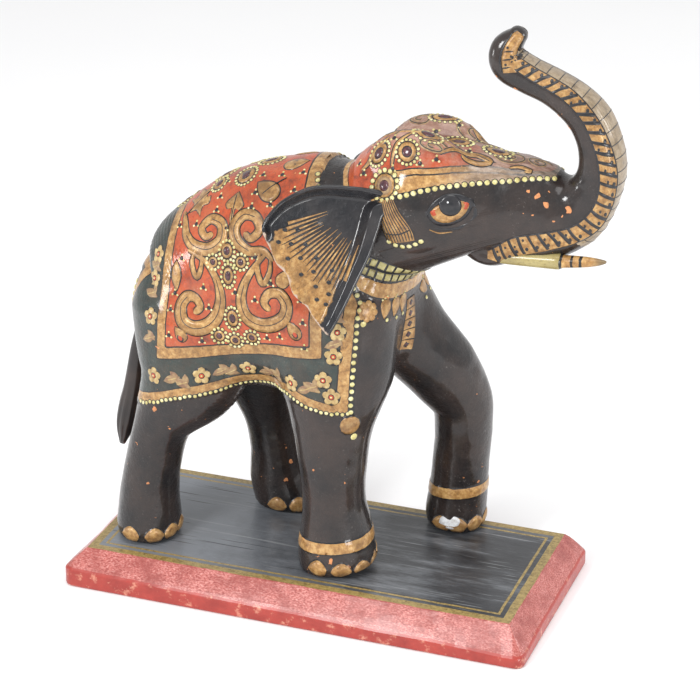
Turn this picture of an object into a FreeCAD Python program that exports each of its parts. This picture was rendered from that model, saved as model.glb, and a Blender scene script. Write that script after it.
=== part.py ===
import FreeCAD, Part
import math
import os
import Sketcher

# A carved wooden elephant on a bevelled board, trunk raised and curled back.
# Frame: X towards the elephant's front, Y towards its left side, Z up, millimetres.
# The origin is the centre of the board's underside.

doc = FreeCAD.newDocument("carved_elephant")
sheet = doc.addObject("Spreadsheet::Sheet", "sizes")
sheet_rows = []


def store(alias, value):
    """Put one driving dimension in the sheet under its alias."""
    sheet_rows.append(alias)
    row = len(sheet_rows)
    sheet.set("A%d" % row, alias)
    sheet.set("B%d" % row, repr(value))
    sheet.setAlias("B%d" % row, alias)


def size(alias):
    """Read one driving dimension back as a number."""
    return float(sheet.get(alias))


def bind(obj, **links):
    """Tie properties to the sheet; a double underscore stands for a dot."""
    for prop, formula in links.items():
        obj.setExpression(prop.replace("__", "."), formula)


# ---------------------------------------------------------------- driving sizes

plain_sizes = {
    # board
    "board_length": 300.0,
    "board_width": 144.0,
    "board_height": 23.0,
    "board_edge": 9.0,
    "bevel_run": 12.0,
    "board_corner": 7.0,
    # centre line of the animal, which stands a little to the left on its board
    "middle_y": 7.0,
    # glue joint across the neck
    "neck_joint_x": 40.0,
    "neck_joint_z": 238.0,
    "neck_joint_lean": 50.0,
    "joint_reach": 130.0,
    "neck_dowel_radius": 8.0,
    "neck_dowel_half": 30.0,
    # glue joint between face and trunk
    "trunk_joint_x": 118.0,
    "trunk_joint_z": 258.0,
    "trunk_joint_radius": 45.0,
    "trunk_joint_depth": 60.0,
    "trunk_dowel_radius": 4.5,
    "trunk_dowel_half": 16.0,
    # ears, each a hollowed plate with a rib down its front edge
    "ear_plate": 4.5,
    "ear_hub_x": 41.0,
    "ear_hub_out": 31.0,
    "ear_hub_z": 268.0,
    "ear_flare": 27.0,
    "ear_lean": 18.0,
    # the left ear is set a little lower than the right one and droops
    "left_ear_drop": 4.5,
    "left_ear_droop": 10.0,
    "ear_hub_radius": 7.0,
    "ear_rib_radius": 4.6,
    "ear_rib_tip_radius": 2.4,
    "ear_rib_length": 80.0,
    "ear_rib_angle": 202.0,
    "ear_dowel_radius": 2.5,
    "ear_dowel_length": 16.0,
    # tusks, laid along the lower sides of the trunk
    "tusk_root_x": 104.0,
    "tusk_root_z": 232.0,
    "tusk_out": 13.5,
    "tusk_rise": 6.0,
    "tusk_root_radius": 4.2,
    "tusk_shoulder_radius": 4.9,
    "tusk_shoulder_length": 26.0,
    "tusk_step_radius": 3.9,
    "tusk_step_length": 22.0,
    "tusk_point_radius": 3.1,
    "tusk_point_length": 22.0,
    "tusk_end_radius": 1.3,
    "tusk_stub_length": 14.0,
    # countersunk screws, one up into each foot
    "screw_head_radius": 4.6,
    "screw_head_depth": 3.2,
    "screw_recess": 0.6,
    "screw_shank_radius": 2.1,
    "screw_shank_length": 38.0,
    "screw_tip_length": 6.0,
    "screw_slot_width": 1.2,
    "screw_slot_depth": 1.1,
}
for alias, value in plain_sizes.items():
    store(alias, value)

# Ovals that the carved masses are lofted through. Each row is one oval:
# centre x, y, z, its tilt about Y, its larger radius and its smaller radius.
# The oval faces up at tilt 0 and towards +X at tilt 90; its larger radius lies in
# the XZ plane and its smaller one along Y.
mid = plain_sizes["middle_y"]
top = plain_sizes["board_height"]
ovals = {
    "torso": [
        (-120.0, mid, 166.0, 90.0, 20.0, 17.0),
        (-110.0, mid, 169.0, 90.0, 36.0, 30.0),
        (-92.0, mid, 174.0, 90.0, 49.0, 39.0),
        (-66.0, mid, 184.0, 90.0, 63.0, 46.0),
        (-38.0, mid, 193.0, 90.0, 73.0, 49.0),
        (-6.0, mid, 199.0, 90.0, 76.0, 50.0),
        (22.0, mid + 1, 203.0, 90.0, 70.0, 46.0),
        (40.0, mid + 1, 199.0, 90.0, 48.0, 36.0),
        (50.0, mid + 1, 196.0, 90.0, 26.0, 22.0),
    ],
    "neck": [
        (-6.0, mid, 206.0, 50.0, 52.0, 36.0),
        (20.0, mid, 227.5, 50.0, 44.0, 37.0),
        (43.0, mid, 249.0, 50.0, 38.0, 36.0),
        (55.0, mid, 259.0, 50.0, 32.0, 31.0),
    ],
    "near_hind_leg": [
        (-109.0, -26.0, top, 0.0, 19.0, 19.0),
        (-110.0, -26.0, top + 5, 0.0, 20.5, 20.5),
        (-110.0, -26.0, 42.0, 0.0, 19.5, 19.5),
        (-108.0, -25.5, 62.0, 0.0, 18.0, 18.0),
        (-104.5, -24.5, 80.0, 0.0, 17.5, 17.5),
        (-98.5, -22.5, 100.0, 0.0, 20.5, 20.5),
        (-85.0, -17.0, 128.0, 0.0, 36.0, 27.0),
        (-79.0, -9.0, 158.0, 0.0, 42.0, 31.0),
        (-76.0, 0.0, 190.0, 0.0, 30.0, 21.0),
    ],
    "far_hind_leg": [
        (-43.0, 41.0, top, 0.0, 18.5, 18.0),
        (-43.5, 41.0, top + 5, 0.0, 21.0, 20.0),
        (-46.0, 40.0, 45.0, 0.0, 20.0, 18.5),
        (-49.0, 39.0, 68.0, 0.0, 17.5, 17.5),
        (-52.0, 37.0, 92.0, 0.0, 18.5, 18.5),
        (-56.0, 32.0, 118.0, 0.0, 30.0, 24.0),
        (-62.0, 24.0, 155.0, 0.0, 42.0, 31.0),
        (-66.0, 15.0, 190.0, 0.0, 32.0, 22.0),
    ],
    "near_front_leg": [
        (18.0, -25.0, top, 0.0, 22.0, 21.0),
        (17.0, -25.0, top + 6, 0.0, 24.5, 23.5),
        (15.0, -24.0, 48.0, 0.0, 22.0, 22.0),
        (14.0, -24.0, 68.0, 0.0, 19.5, 19.5),
        (13.5, -24.0, 88.0, 0.0, 20.5, 20.5),
        (12.5, -23.0, 116.0, 0.0, 24.5, 24.0),
        (14.0, -19.0, 150.0, 0.0, 37.0, 29.0),
        (16.0, -12.0, 182.0, 0.0, 38.0, 31.0),
        (16.0, -2.0, 216.0, 0.0, 27.0, 20.0),
    ],
    "far_front_leg": [
        (68.0, 50.5, top, 0.0, 16.0, 15.0),
        (68.5, 50.5, top + 6, 0.0, 19.0, 17.5),
        (70.0, 51.0, 50.0, 0.0, 18.0, 17.5),
        (71.5, 50.0, 70.0, 0.0, 17.5, 17.0),
        (73.0, 49.0, 92.0, 0.0, 18.0, 17.5),
        (71.0, 47.0, 112.0, 0.0, 20.0, 19.0),
        (60.0, 41.0, 134.0, 0.0, 25.0, 22.0),
        (42.0, 32.0, 160.0, 0.0, 29.0, 27.0),
        (27.0, 24.0, 182.0, 0.0, 30.0, 28.0),
        (22.0, 14.0, 212.0, 0.0, 26.0, 20.0),
    ],
    "head": [
        (20.0, mid, 256.0, 90.0, 20.0, 18.0),
        (34.0, mid, 259.0, 90.0, 34.0, 31.0),
        (56.0, mid, 260.0, 90.0, 38.0, 37.0),
        (84.0, mid, 263.0, 90.0, 33.0, 30.0),
        (106.0, mid, 261.5, 90.0, 30.0, 23.0),
        (122.0, mid, 257.5, 90.0, 27.5, 19.5),
    ],
    "trunk": [
        (112.0, mid, 260.0, 90.0, 28.5, 20.0),
        (122.0, mid, 257.5, 90.0, 27.0, 19.5),
        (138.0, mid, 257.0, 74.0, 23.0, 18.0),
        (154.0, mid, 265.0, 50.0, 18.5, 16.5),
        (164.0, mid, 282.0, 18.0, 14.0, 14.0),
        (165.0, mid, 300.5, -10.0, 12.5, 12.5),
        (158.0, mid, 318.0, -35.0, 11.0, 11.0),
        (147.0, mid, 329.0, -53.0, 9.8, 9.8),
        (134.5, mid, 336.0, -61.0, 9.0, 9.0),
        (121.0, mid, 341.0, -62.0, 9.2, 9.2),
        (111.5, mid, 347.5, -38.0, 9.6, 9.6),
        (108.5, mid, 356.0, 2.0, 9.2, 9.2),
        (113.5, mid, 365.5, 40.0, 7.5, 7.5),
    ],
    "tail": [
        (-114.0, mid + 1, 178.0, 210.0, 3.6, 3.6),
        (-123.0, mid + 1, 158.0, 202.0, 4.0, 3.8),
        (-129.5, mid + 1, 136.0, 194.0, 4.6, 4.0),
        (-134.0, mid + 1, 108.0, 191.0, 6.2, 4.6),
        (-139.0, mid + 1, 84.0, 191.0, 7.2, 5.0),
        (-143.5, mid + 1, 63.5, 193.0, 3.4, 2.6),
    ],
}
columns = ("x", "y", "z", "tilt", "major", "minor")
for mass, rows in ovals.items():
    for number, row in enumerate(rows):
        for column, value in zip(columns, row):
            store("%s_%d_%s" % (mass, number, column), value)

# Rounded lumps: centre x, y, z and radii along x, y and z.
lumps = {
    "near_dome": (60.0, mid - 15, 281.0, 31.5, 14.5, 24.0),
    "far_dome": (62.5, mid + 16.5, 281.0, 30.5, 15.5, 23.5),
    "jaw": (60.0, mid, 235.0, 29.0, 24.0, 19.0),
    "lip": (100.0, mid, 234.0, 14.0, 12.5, 8.0),
}
for lump, row in lumps.items():
    for column, value in zip(("x", "y", "z", "long", "wide", "high"), row):
        store("%s_%s" % (lump, column), value)

# Foot centres on the board, where the screws go.
for foot in ("near_hind", "far_hind", "near_front", "far_front"):
    first_oval = ovals[foot + "_leg"][0]
    store(foot + "_screw_x", first_oval[0])
    store(foot + "_screw_y", first_oval[1])

# Ear outline, from the hub: along the plate (back is positive), and up.
ear_outline = [
    (-4.0, 4.0),
    (14.0, 7.0),
    (30.0, 8.5),
    (44.0, 6.5),
    (56.0, 0.0),
    (66.0, -9.0),
    (68.5, -16.0),
    (64.0, -27.0),
    (59.0, -38.0),
    (52.0, -51.0),
    (44.0, -62.0),
    (33.0, -79.0),
    (27.0, -74.0),
    (11.0, -45.0),
    (-4.0, -14.0),
]
for number, (along, upward) in enumerate(ear_outline):
    store("ear_%d_along" % number, along)
    store("ear_%d_up" % number, upward)

doc.recompute()


# ---------------------------------------------------------------- shared builders

def place(obj, x=None, y=None, z=None):
    """Bind a position in the part's frame; an axis left out stays at zero."""
    for axis_name, formula in (("x", x), ("y", y), ("z", z)):
        if formula is not None:
            obj.setExpression("Placement.Base." + axis_name, formula)


def turn(obj, axis, angle):
    """Turn an object about one axis of the part's frame by a bound angle."""
    obj.Placement = FreeCAD.Placement(obj.Placement.Base, FreeCAD.Rotation(axis, 1))
    obj.setExpression("Placement.Rotation.Angle", angle)


ABOUT_X = FreeCAD.Vector(1, 0, 0)
ABOUT_Y = FreeCAD.Vector(0, 1, 0)
ABOUT_Z = FreeCAD.Vector(0, 0, 1)


def loft(mass):
    """A solid lofted through the ovals of one mass."""
    sections = []
    for number in range(len(ovals[mass])):
        key = "sizes.%s_%d_" % (mass, number)
        oval = doc.addObject("Part::Ellipse", "%s_oval_%d" % (mass, number))
        oval.MajorRadius = 100
        bind(oval, MajorRadius=key + "major", MinorRadius=key + "minor")
        turn(oval, ABOUT_Y, key + "tilt")
        place(oval, key + "x", key + "y", key + "z")
        sections.append(oval)
    solid = doc.addObject("Part::Loft", mass + "_mass")
    solid.Sections = sections
    solid.Solid = True
    solid.Ruled = False
    solid.MaxDegree = 3
    return solid


def lump(name):
    """An ellipsoid with its own three radii."""
    key = "sizes.%s_" % name
    solid = doc.addObject("Part::Ellipsoid", name + "_lump")
    bind(solid, Radius1=key + "high", Radius2=key + "long", Radius3=key + "wide")
    place(solid, key + "x", key + "y", key + "z")
    return solid


def cylinder(name, radius, height):
    solid = doc.addObject("Part::Cylinder", name)
    bind(solid, Radius=radius, Height=height)
    return solid


def cone(name, low_radius, high_radius, height):
    solid = doc.addObject("Part::Cone", name)
    bind(solid, Radius1=low_radius, Radius2=high_radius, Height=height)
    return solid


def fuse(name, *shapes):
    joined = doc.addObject("Part::MultiFuse", name)
    joined.Shapes = list(shapes)
    joined.Refine = False
    return joined


def cut(name, base, *tools):
    """Take one or more tools out of a base, one after another."""
    result = base
    for number, tool in enumerate(tools):
        step = doc.addObject("Part::Cut", "%s_%d" % (name, number))
        step.Base = result
        step.Tool = tool
        step.Refine = False
        result = step
    return result


def plane_of(body, role):
    """The origin plane of a body, found by its role."""
    for feature in body.Origin.OriginFeatures:
        if feature.Role == role:
            return feature
    raise ValueError(role)


# ---------------------------------------------------------------- screws and dowels

def screw_blank(foot):
    """A countersunk wood screw without its slot, standing up into one foot."""
    head = cone(foot + "_screw_head", "sizes.screw_head_radius", "sizes.screw_shank_radius",
                "sizes.screw_head_depth")
    place(head, z="sizes.screw_recess")
    shank = cylinder(foot + "_screw_shank", "sizes.screw_shank_radius", "sizes.screw_shank_length")
    place(shank, z="sizes.screw_recess + sizes.screw_head_depth")
    tip = cone(foot + "_screw_tip", "sizes.screw_shank_radius", "0.15 * sizes.screw_shank_radius",
               "sizes.screw_tip_length")
    place(tip, z="sizes.screw_recess + sizes.screw_head_depth + sizes.screw_shank_length")
    blank = fuse(foot + "_screw_blank", head, shank, tip)
    place(blank, "sizes.%s_screw_x" % foot, "sizes.%s_screw_y" % foot)
    return blank


def screw_counterbore(foot):
    """The shallow recess that lets the head sit below the board's underside."""
    recess = cylinder(foot + "_recess", "sizes.screw_head_radius", "sizes.screw_recess")
    place(recess, "sizes.%s_screw_x" % foot, "sizes.%s_screw_y" % foot)
    return recess


def screw_slot(foot):
    slot = doc.addObject("Part::Box", foot + "_slot")
    bind(slot, Length="3 * sizes.screw_head_radius", Width="sizes.screw_slot_width",
         Height="sizes.screw_slot_depth")
    place(slot, "sizes.%s_screw_x - 1.5 * sizes.screw_head_radius" % foot,
          "sizes.%s_screw_y - sizes.screw_slot_width / 2" % foot, "sizes.screw_recess")
    return slot


feet = ("near_hind", "far_hind", "near_front", "far_front")
blanks = {}
finished_screws = []
for foot in feet:
    blanks[foot] = screw_blank(foot)
    finished_screws.append(cut(foot + "_screw", blanks[foot], screw_slot(foot)))
foot_screws = doc.addObject("Part::Compound", "foot_screws")
foot_screws.Links = finished_screws

# The neck dowel runs square to the neck joint, half in each block.
neck_dowel = cylinder("neck_dowel", "sizes.neck_dowel_radius", "2 * sizes.neck_dowel_half")
turn(neck_dowel, ABOUT_Y, "sizes.neck_joint_lean")
place(neck_dowel,
      "sizes.neck_joint_x - sizes.neck_dowel_half * sin(sizes.neck_joint_lean * 1 deg)",
      "sizes.middle_y",
      "sizes.neck_joint_z - sizes.neck_dowel_half * cos(sizes.neck_joint_lean * 1 deg)")

trunk_dowel = cylinder("trunk_dowel", "sizes.trunk_dowel_radius", "2 * sizes.trunk_dowel_half")
turn(trunk_dowel, ABOUT_Y, "90")
place(trunk_dowel, "sizes.trunk_joint_x - sizes.trunk_dowel_half", "sizes.middle_y",
      "sizes.trunk_joint_z")


# ---------------------------------------------------------------- board

def rounded_rectangle(body, name, level, half_length, half_width, corner):
    """A centred rounded rectangle on the body's XY plane, raised to a level."""
    sketch = body.newObject("Sketcher::SketchObject", name)
    sketch.AttachmentSupport = [(plane_of(body, "XY_Plane"), "")]
    sketch.MapMode = "FlatFace"
    sketch.setExpression("AttachmentOffset.Base.z", level)
    reach_x, reach_y, radius = 140.0, 60.0, 7.0
    inner_x = reach_x - radius
    inner_y = reach_y - radius
    corners = [(inner_x, inner_y, 0), (-inner_x, inner_y, 90), (-inner_x, -inner_y, 180),
               (inner_x, -inner_y, 270)]
    for centre_x, centre_y, start in corners:
        circle = Part.Circle(FreeCAD.Vector(centre_x, centre_y, 0), ABOUT_Z, radius)
        arc = Part.ArcOfCircle(circle, math.radians(start), math.radians(start + 90))
        sketch.addGeometry(arc, False)
    for number in range(4):
        following = (number + 1) % 4
        start_point = sketch.getPoint(number, 2)
        end_point = sketch.getPoint(following, 1)
        sketch.addGeometry(Part.LineSegment(start_point, end_point), False)
    for number in range(4):
        side = number + 4
        following = (number + 1) % 4
        sketch.addConstraint(Sketcher.Constraint("Tangent", number, 2, side, 1))
        sketch.addConstraint(Sketcher.Constraint("Tangent", side, 2, following, 1))
    for other in (1, 2, 3):
        sketch.addConstraint(Sketcher.Constraint("Equal", 0, other))
    sketch.addConstraint(Sketcher.Constraint("Horizontal", 4))
    sketch.addConstraint(Sketcher.Constraint("Vertical", 5))
    sketch.addConstraint(Sketcher.Constraint("Symmetric", 0, 3, 2, 3, -1, 1))
    radius_rule = sketch.addConstraint(Sketcher.Constraint("Radius", 0, radius))
    length_rule = sketch.addConstraint(Sketcher.Constraint("DistanceX", -1, 1, 0, 3, inner_x))
    width_rule = sketch.addConstraint(Sketcher.Constraint("DistanceY", -1, 1, 0, 3, inner_y))
    sketch.setExpression("Constraints[%d]" % radius_rule, corner)
    sketch.setExpression("Constraints[%d]" % length_rule, "%s - %s" % (half_length, corner))
    sketch.setExpression("Constraints[%d]" % width_rule, "%s - %s" % (half_width, corner))
    return sketch


board_body = doc.addObject("PartDesign::Body", "board_body")
outline = rounded_rectangle(board_body, "board_outline", "0", "sizes.board_length / 2",
                            "sizes.board_width / 2", "sizes.board_corner")
slab = board_body.newObject("PartDesign::Pad", "board_slab")
slab.Profile = outline
bind(slab, Length="sizes.board_edge")
bevel_foot = rounded_rectangle(board_body, "bevel_foot", "sizes.board_edge",
                               "sizes.board_length / 2", "sizes.board_width / 2",
                               "sizes.board_corner")
bevel_top = rounded_rectangle(board_body, "bevel_top", "sizes.board_height",
                              "sizes.board_length / 2 - sizes.bevel_run",
                              "sizes.board_width / 2 - sizes.bevel_run",
                              "sizes.board_corner / 2")
bevel = board_body.newObject("PartDesign::AdditiveLoft", "board_bevel")
bevel.Profile = bevel_foot
bevel.Sections = [bevel_top]
bevel.Ruled = True
doc.recompute()
base_board = cut("board", board_body, *[blanks[foot] for foot in feet],
                 *[screw_counterbore(foot) for foot in feet])


# ---------------------------------------------------------------- ears

RIGHT = -1
LEFT = 1


def hub_level(hand):
    """The formula for the height of one ear's hub."""
    return "sizes.ear_hub_z - sizes.left_ear_drop" if hand == LEFT else "sizes.ear_hub_z"


def ear(side, hand):
    """One ear: a flared plate, a rib down its front edge and a round hub."""
    body = doc.addObject("PartDesign::Body", side + "_ear_body")
    sketch = body.newObject("Sketcher::SketchObject", side + "_ear_outline")
    sketch.AttachmentSupport = [(plane_of(body, "XZ_Plane"), "")]
    sketch.MapMode = "FlatFace"
    points = [FreeCAD.Vector(-along, upward, 0) for along, upward in ear_outline]
    count = len(points)
    for number in range(count):
        sketch.addGeometry(Part.LineSegment(points[number], points[(number + 1) % count]), False)
    for number in range(count):
        following = (number + 1) % count
        sketch.addConstraint(Sketcher.Constraint("Coincident", number, 2, following, 1))
    for number in range(count):
        across = sketch.addConstraint(
            Sketcher.Constraint("DistanceX", -1, 1, number, 1, points[number].x))
        upright = sketch.addConstraint(
            Sketcher.Constraint("DistanceY", -1, 1, number, 1, points[number].y))
        sketch.setExpression("Constraints[%d]" % across, "-sizes.ear_%d_along" % number)
        sketch.setExpression("Constraints[%d]" % upright, "sizes.ear_%d_up" % number)
    plate = body.newObject("PartDesign::Pad", side + "_ear_plate")
    plate.Profile = sketch
    plate.Midplane = True
    bind(plate, Length="sizes.ear_plate")
    rib = cone(side + "_ear_rib", "sizes.ear_rib_radius", "sizes.ear_rib_tip_radius",
               "sizes.ear_rib_length")
    turn(rib, ABOUT_Y, "sizes.ear_rib_angle")
    hub = doc.addObject("Part::Sphere", side + "_ear_hub")
    bind(hub, Radius="sizes.ear_hub_radius")
    joined = fuse(side + "_ear_joined", body, rib, hub)
    flare = FreeCAD.Rotation(ABOUT_Z, -hand * size("ear_flare"))
    lean = FreeCAD.Rotation(ABOUT_X, hand * size("ear_lean"))
    droop = FreeCAD.Rotation(ABOUT_Y, -size("left_ear_droop") if hand == LEFT else 0)
    joined.Placement = FreeCAD.Placement(FreeCAD.Vector(), flare.multiply(lean).multiply(droop))
    place(joined, "sizes.ear_hub_x", "sizes.middle_y + %d * sizes.ear_hub_out" % hand,
          hub_level(hand))
    return joined


def ear_dowel(side, hand):
    """A small dowel from the ear's hub straight into the side of the head."""
    peg = cylinder(side + "_ear_dowel", "sizes.ear_dowel_radius", "sizes.ear_dowel_length")
    turn(peg, ABOUT_X, "%d" % (90 * hand))
    place(peg, "sizes.ear_hub_x", "sizes.middle_y + %d * (sizes.ear_hub_out - 2)" % hand,
          hub_level(hand))
    return peg


# ---------------------------------------------------------------- tusks

def tusk(side, hand, broken):
    """A tusk of three tapers in line; the broken one ends in its first taper."""
    pieces = []
    start = "0"
    tapers = [
        ("root", "tusk_root_radius", "tusk_shoulder_radius", "tusk_shoulder_length"),
        ("step", "tusk_shoulder_radius", "tusk_step_radius",
         "tusk_stub_length" if broken else "tusk_step_length"),
    ]
    if not broken:
        tapers.append(("point", "tusk_point_radius", "tusk_end_radius", "tusk_point_length"))
    for name, low_radius, high_radius, length in tapers:
        taper = cone("%s_tusk_%s" % (side, name), "sizes." + low_radius, "sizes." + high_radius,
                     "sizes." + length)
        place(taper, z=start)
        start = start + " + sizes." + length
        pieces.append(taper)
    joined = fuse(side + "_tusk_joined", *pieces)
    turn(joined, ABOUT_Y, "90 - sizes.tusk_rise")
    place(joined, "sizes.tusk_root_x", "sizes.middle_y + %d * sizes.tusk_out" % hand,
          "sizes.tusk_root_z")
    return joined


right_tusk = tusk("right", RIGHT, False)
left_tusk = tusk("left", LEFT, True)
right_dowel = ear_dowel("right", RIGHT)
left_dowel = ear_dowel("left", LEFT)
ear_dowels = doc.addObject("Part::Compound", "ear_dowels")
ear_dowels.Links = [right_dowel, left_dowel]
right_ear_blank = ear("right", RIGHT)
left_ear_blank = ear("left", LEFT)
right_ear = cut("right_ear_drilled", right_ear_blank, right_dowel)
left_ear = cut("left_ear_drilled", left_ear_blank, left_dowel)


# ---------------------------------------------------------------- joint planes

# A wide cylinder stands for everything on the head's side of the neck joint.
head_side = cylinder("head_side", "sizes.joint_reach", "sizes.joint_reach")
turn(head_side, ABOUT_Y, "sizes.neck_joint_lean")
place(head_side, "sizes.neck_joint_x", "sizes.middle_y", "sizes.neck_joint_z")

# Two shorter ones stand for the wood in front of and behind the trunk joint.
before_joint = cylinder("before_trunk_joint", "sizes.trunk_joint_radius",
                        "sizes.trunk_joint_depth")
turn(before_joint, ABOUT_Y, "90")
place(before_joint, "sizes.trunk_joint_x", "sizes.middle_y", "sizes.trunk_joint_z")
behind_joint = cylinder("behind_trunk_joint", "sizes.trunk_joint_radius",
                        "sizes.trunk_joint_depth")
turn(behind_joint, ABOUT_Y, "90")
place(behind_joint, "sizes.trunk_joint_x - sizes.trunk_joint_depth", "sizes.middle_y",
      "sizes.trunk_joint_z")


# ---------------------------------------------------------------- carved blocks

tail = loft("tail")
neck = loft("neck")
legs = [loft(foot + "_leg") for foot in feet]

# The left ear hangs against the shoulder, which is let in a little to take it.
body_rough = fuse("body_rough", loft("torso"), neck, *legs)
body_block = cut("body_cut", body_rough, head_side, tail, neck_dowel, left_ear_blank,
                 *[blanks[foot] for foot in feet])

skull = fuse("skull", loft("head"), lump("near_dome"), lump("far_dome"), lump("jaw"),
             lump("lip"), neck)
skull_half = doc.addObject("Part::Common", "skull_half")
skull_half.Base = skull
skull_half.Tool = head_side
skull_half.Refine = False
head_block = cut("head_cut", skull_half, before_joint, right_ear_blank, left_ear_blank,
                 right_dowel, left_dowel, right_tusk, left_tusk, neck_dowel, trunk_dowel)

trunk = cut("trunk_cut", loft("trunk"), behind_joint, right_tusk, left_tusk, trunk_dowel)


# ---------------------------------------------------------------- nodes and files

nodes = {
    "base_board": base_board,
    "body_block": body_block,
    "head_block": head_block,
    "trunk": trunk,
    "ear_right": right_ear,
    "ear_left": left_ear,
    "tusk_right": right_tusk,
    "tusk_left": left_tusk,
    "tail": tail,
    "neck_dowel": neck_dowel,
    "trunk_dowel": trunk_dowel,
    "ear_dowels": ear_dowels,
    "foot_screws": foot_screws,
}
for name, obj in nodes.items():
    obj.Label = name
doc.recompute()

for obj in doc.Objects:
    if "Invalid" in obj.State or "Error" in obj.State:
        raise RuntimeError("%s failed: %s" % (obj.Label, obj.State))

os.makedirs("parts", exist_ok=True)
for name, obj in nodes.items():
    shape = obj.Shape
    if shape.isNull() or not shape.isValid() or not shape.Solids:
        raise RuntimeError("%s has no valid solid" % name)
    box = shape.BoundBox
    print("%-12s solids %d volume %9.0f  x %7.1f %7.1f  y %7.1f %7.1f  z %7.1f %7.1f" % (
        name, len(shape.Solids), shape.Volume, box.XMin, box.XMax, box.YMin, box.YMax,
        box.ZMin, box.ZMax))
    shape.exportStep("parts/%s.step" % name)
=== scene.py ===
"""Carved and painted wooden elephant: the visual model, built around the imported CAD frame.

Lengths in this file are millimetres in the CAD frame (X to the front, Y to the animal's left,
Z up, origin under the board's centre); MM turns them into Blender's metres at the last step.
"""
import math

import bpy
import bmesh
import numpy as np
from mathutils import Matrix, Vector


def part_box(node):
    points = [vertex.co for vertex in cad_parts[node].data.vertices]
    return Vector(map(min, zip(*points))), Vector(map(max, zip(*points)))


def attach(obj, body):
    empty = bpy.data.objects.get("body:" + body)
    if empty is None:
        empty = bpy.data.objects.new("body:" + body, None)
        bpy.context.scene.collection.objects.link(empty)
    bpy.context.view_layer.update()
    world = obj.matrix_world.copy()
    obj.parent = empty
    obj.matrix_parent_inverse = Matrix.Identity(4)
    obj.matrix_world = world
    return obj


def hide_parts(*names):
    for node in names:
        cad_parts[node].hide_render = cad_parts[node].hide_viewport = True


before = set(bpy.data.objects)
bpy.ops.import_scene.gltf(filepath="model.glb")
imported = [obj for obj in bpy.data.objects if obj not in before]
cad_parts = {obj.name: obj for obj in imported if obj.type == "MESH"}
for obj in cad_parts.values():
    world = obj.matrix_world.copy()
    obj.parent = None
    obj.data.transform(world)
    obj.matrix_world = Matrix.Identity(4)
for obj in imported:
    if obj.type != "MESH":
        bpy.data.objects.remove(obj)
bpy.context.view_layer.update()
MM = 0.001
rng = np.random.default_rng(7)


# ============================================================ numbers read from the frame

def node_box(name):
    low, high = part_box(name)
    return np.array(low) / MM, np.array(high) / MM


BOARD_LOW, BOARD_HIGH = node_box("base_board")
BOARD_TOP = BOARD_HIGH[2]
YC = float(sum(corner[1] for corner in node_box("trunk"))) / 2


# ============================================================ implicit carving

def catmull_rom(rows, per_span):
    """Rows of numbers joined by a smooth curve, with per_span samples in each span."""
    rows = np.asarray(rows, float)
    padded = np.vstack([2 * rows[0] - rows[1], rows, 2 * rows[-1] - rows[-2]])
    steps = np.linspace(0, 1, per_span, endpoint=False)[:, None]
    spans = []
    for i in range(1, len(padded) - 2):
        a, b, c, d = padded[i - 1:i + 3]
        spans.append(0.5 * (2 * b + (c - a) * steps + (2 * a - 5 * b + 4 * c - d) * steps**2
                            + (3 * b - a - 3 * c + d) * steps**3))
    return np.vstack(spans + [rows[-1][None]])


class Limb:
    """A mass swept along a curve: rows of x, y, z, radius along up, radius across."""

    def __init__(self, rows, up, caps=(1.0, 1.0), power=2.0):
        path = catmull_rom(rows, 16)
        self.centres, self.radii = path[:, :3], path[:, 3:5]
        tangent = np.gradient(self.centres, axis=0)
        self.along = tangent / np.linalg.norm(tangent, axis=1)[:, None]
        up = np.asarray(up, float)
        square = up - (self.along @ up)[:, None] * self.along
        self.up = square / np.linalg.norm(square, axis=1)[:, None]
        self.side = np.cross(self.along, self.up)
        self.caps, self.power = caps, power
        self.middle = (self.centres.min(0) + self.centres.max(0)) / 2
        self.reach = np.linalg.norm(self.centres - self.middle, axis=1).max() + self.radii.max()

    def __call__(self, points, margin=22.0):
        far = np.linalg.norm(points - self.middle, axis=1) - self.reach
        result = np.maximum(far, margin)
        near = far < margin
        if near.any():
            result[near] = self.distance(points[near])
        return result

    def local(self, q):
        """Nearest place on the curve: index, offsets along up, side and along, and radii."""
        last = len(self.centres) - 2
        best = np.empty(len(q), int)
        for start in range(0, len(q), 40000):
            part = q[start:start + 40000]
            squared = (self.centres**2).sum(1)[None] - 2 * part @ self.centres.T
            best[start:start + 40000] = squared.argmin(1)
        chosen, error = None, None
        for shift in (-1, 0):
            i = np.clip(best + shift, 0, last)
            a, span = self.centres[i], self.centres[i + 1] - self.centres[i]
            t = np.clip(((q - a) * span).sum(1) / (span**2).sum(1), 0, 1)
            e = ((q - a - span * t[:, None])**2).sum(1)
            if chosen is None:
                chosen, share, error = i, t, e
            else:
                better = e < error
                chosen, share = np.where(better, i, chosen), np.where(better, t, share)
        s = share[:, None]

        def mix(values):
            return values[chosen] * (1 - s) + values[chosen + 1] * s

        offset = q - mix(self.centres)
        parts = [(offset * mix(axis)).sum(1) for axis in (self.up, self.side, self.along)]
        return chosen + share, parts, mix(self.radii)

    def distance(self, q):
        place, (u, v, w), radii = self.local(q)
        cap = np.where(place < len(self.centres) / 2, self.caps[0], self.caps[1])
        cap = cap * np.sqrt(radii[:, 0] * radii[:, 1])
        ratio = (np.abs(u / radii[:, 0])**self.power
                 + np.abs(v / radii[:, 1])**self.power)**(1 / self.power)
        ratio = np.sqrt(ratio**2 + (w / cap)**2) + 1e-9
        length = np.sqrt(u * u + v * v + w * w)
        return np.where(ratio > 0.5, length * (1 - 1 / np.maximum(ratio, 0.5)),
                        -(1 - ratio) * radii.min(1))


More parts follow.
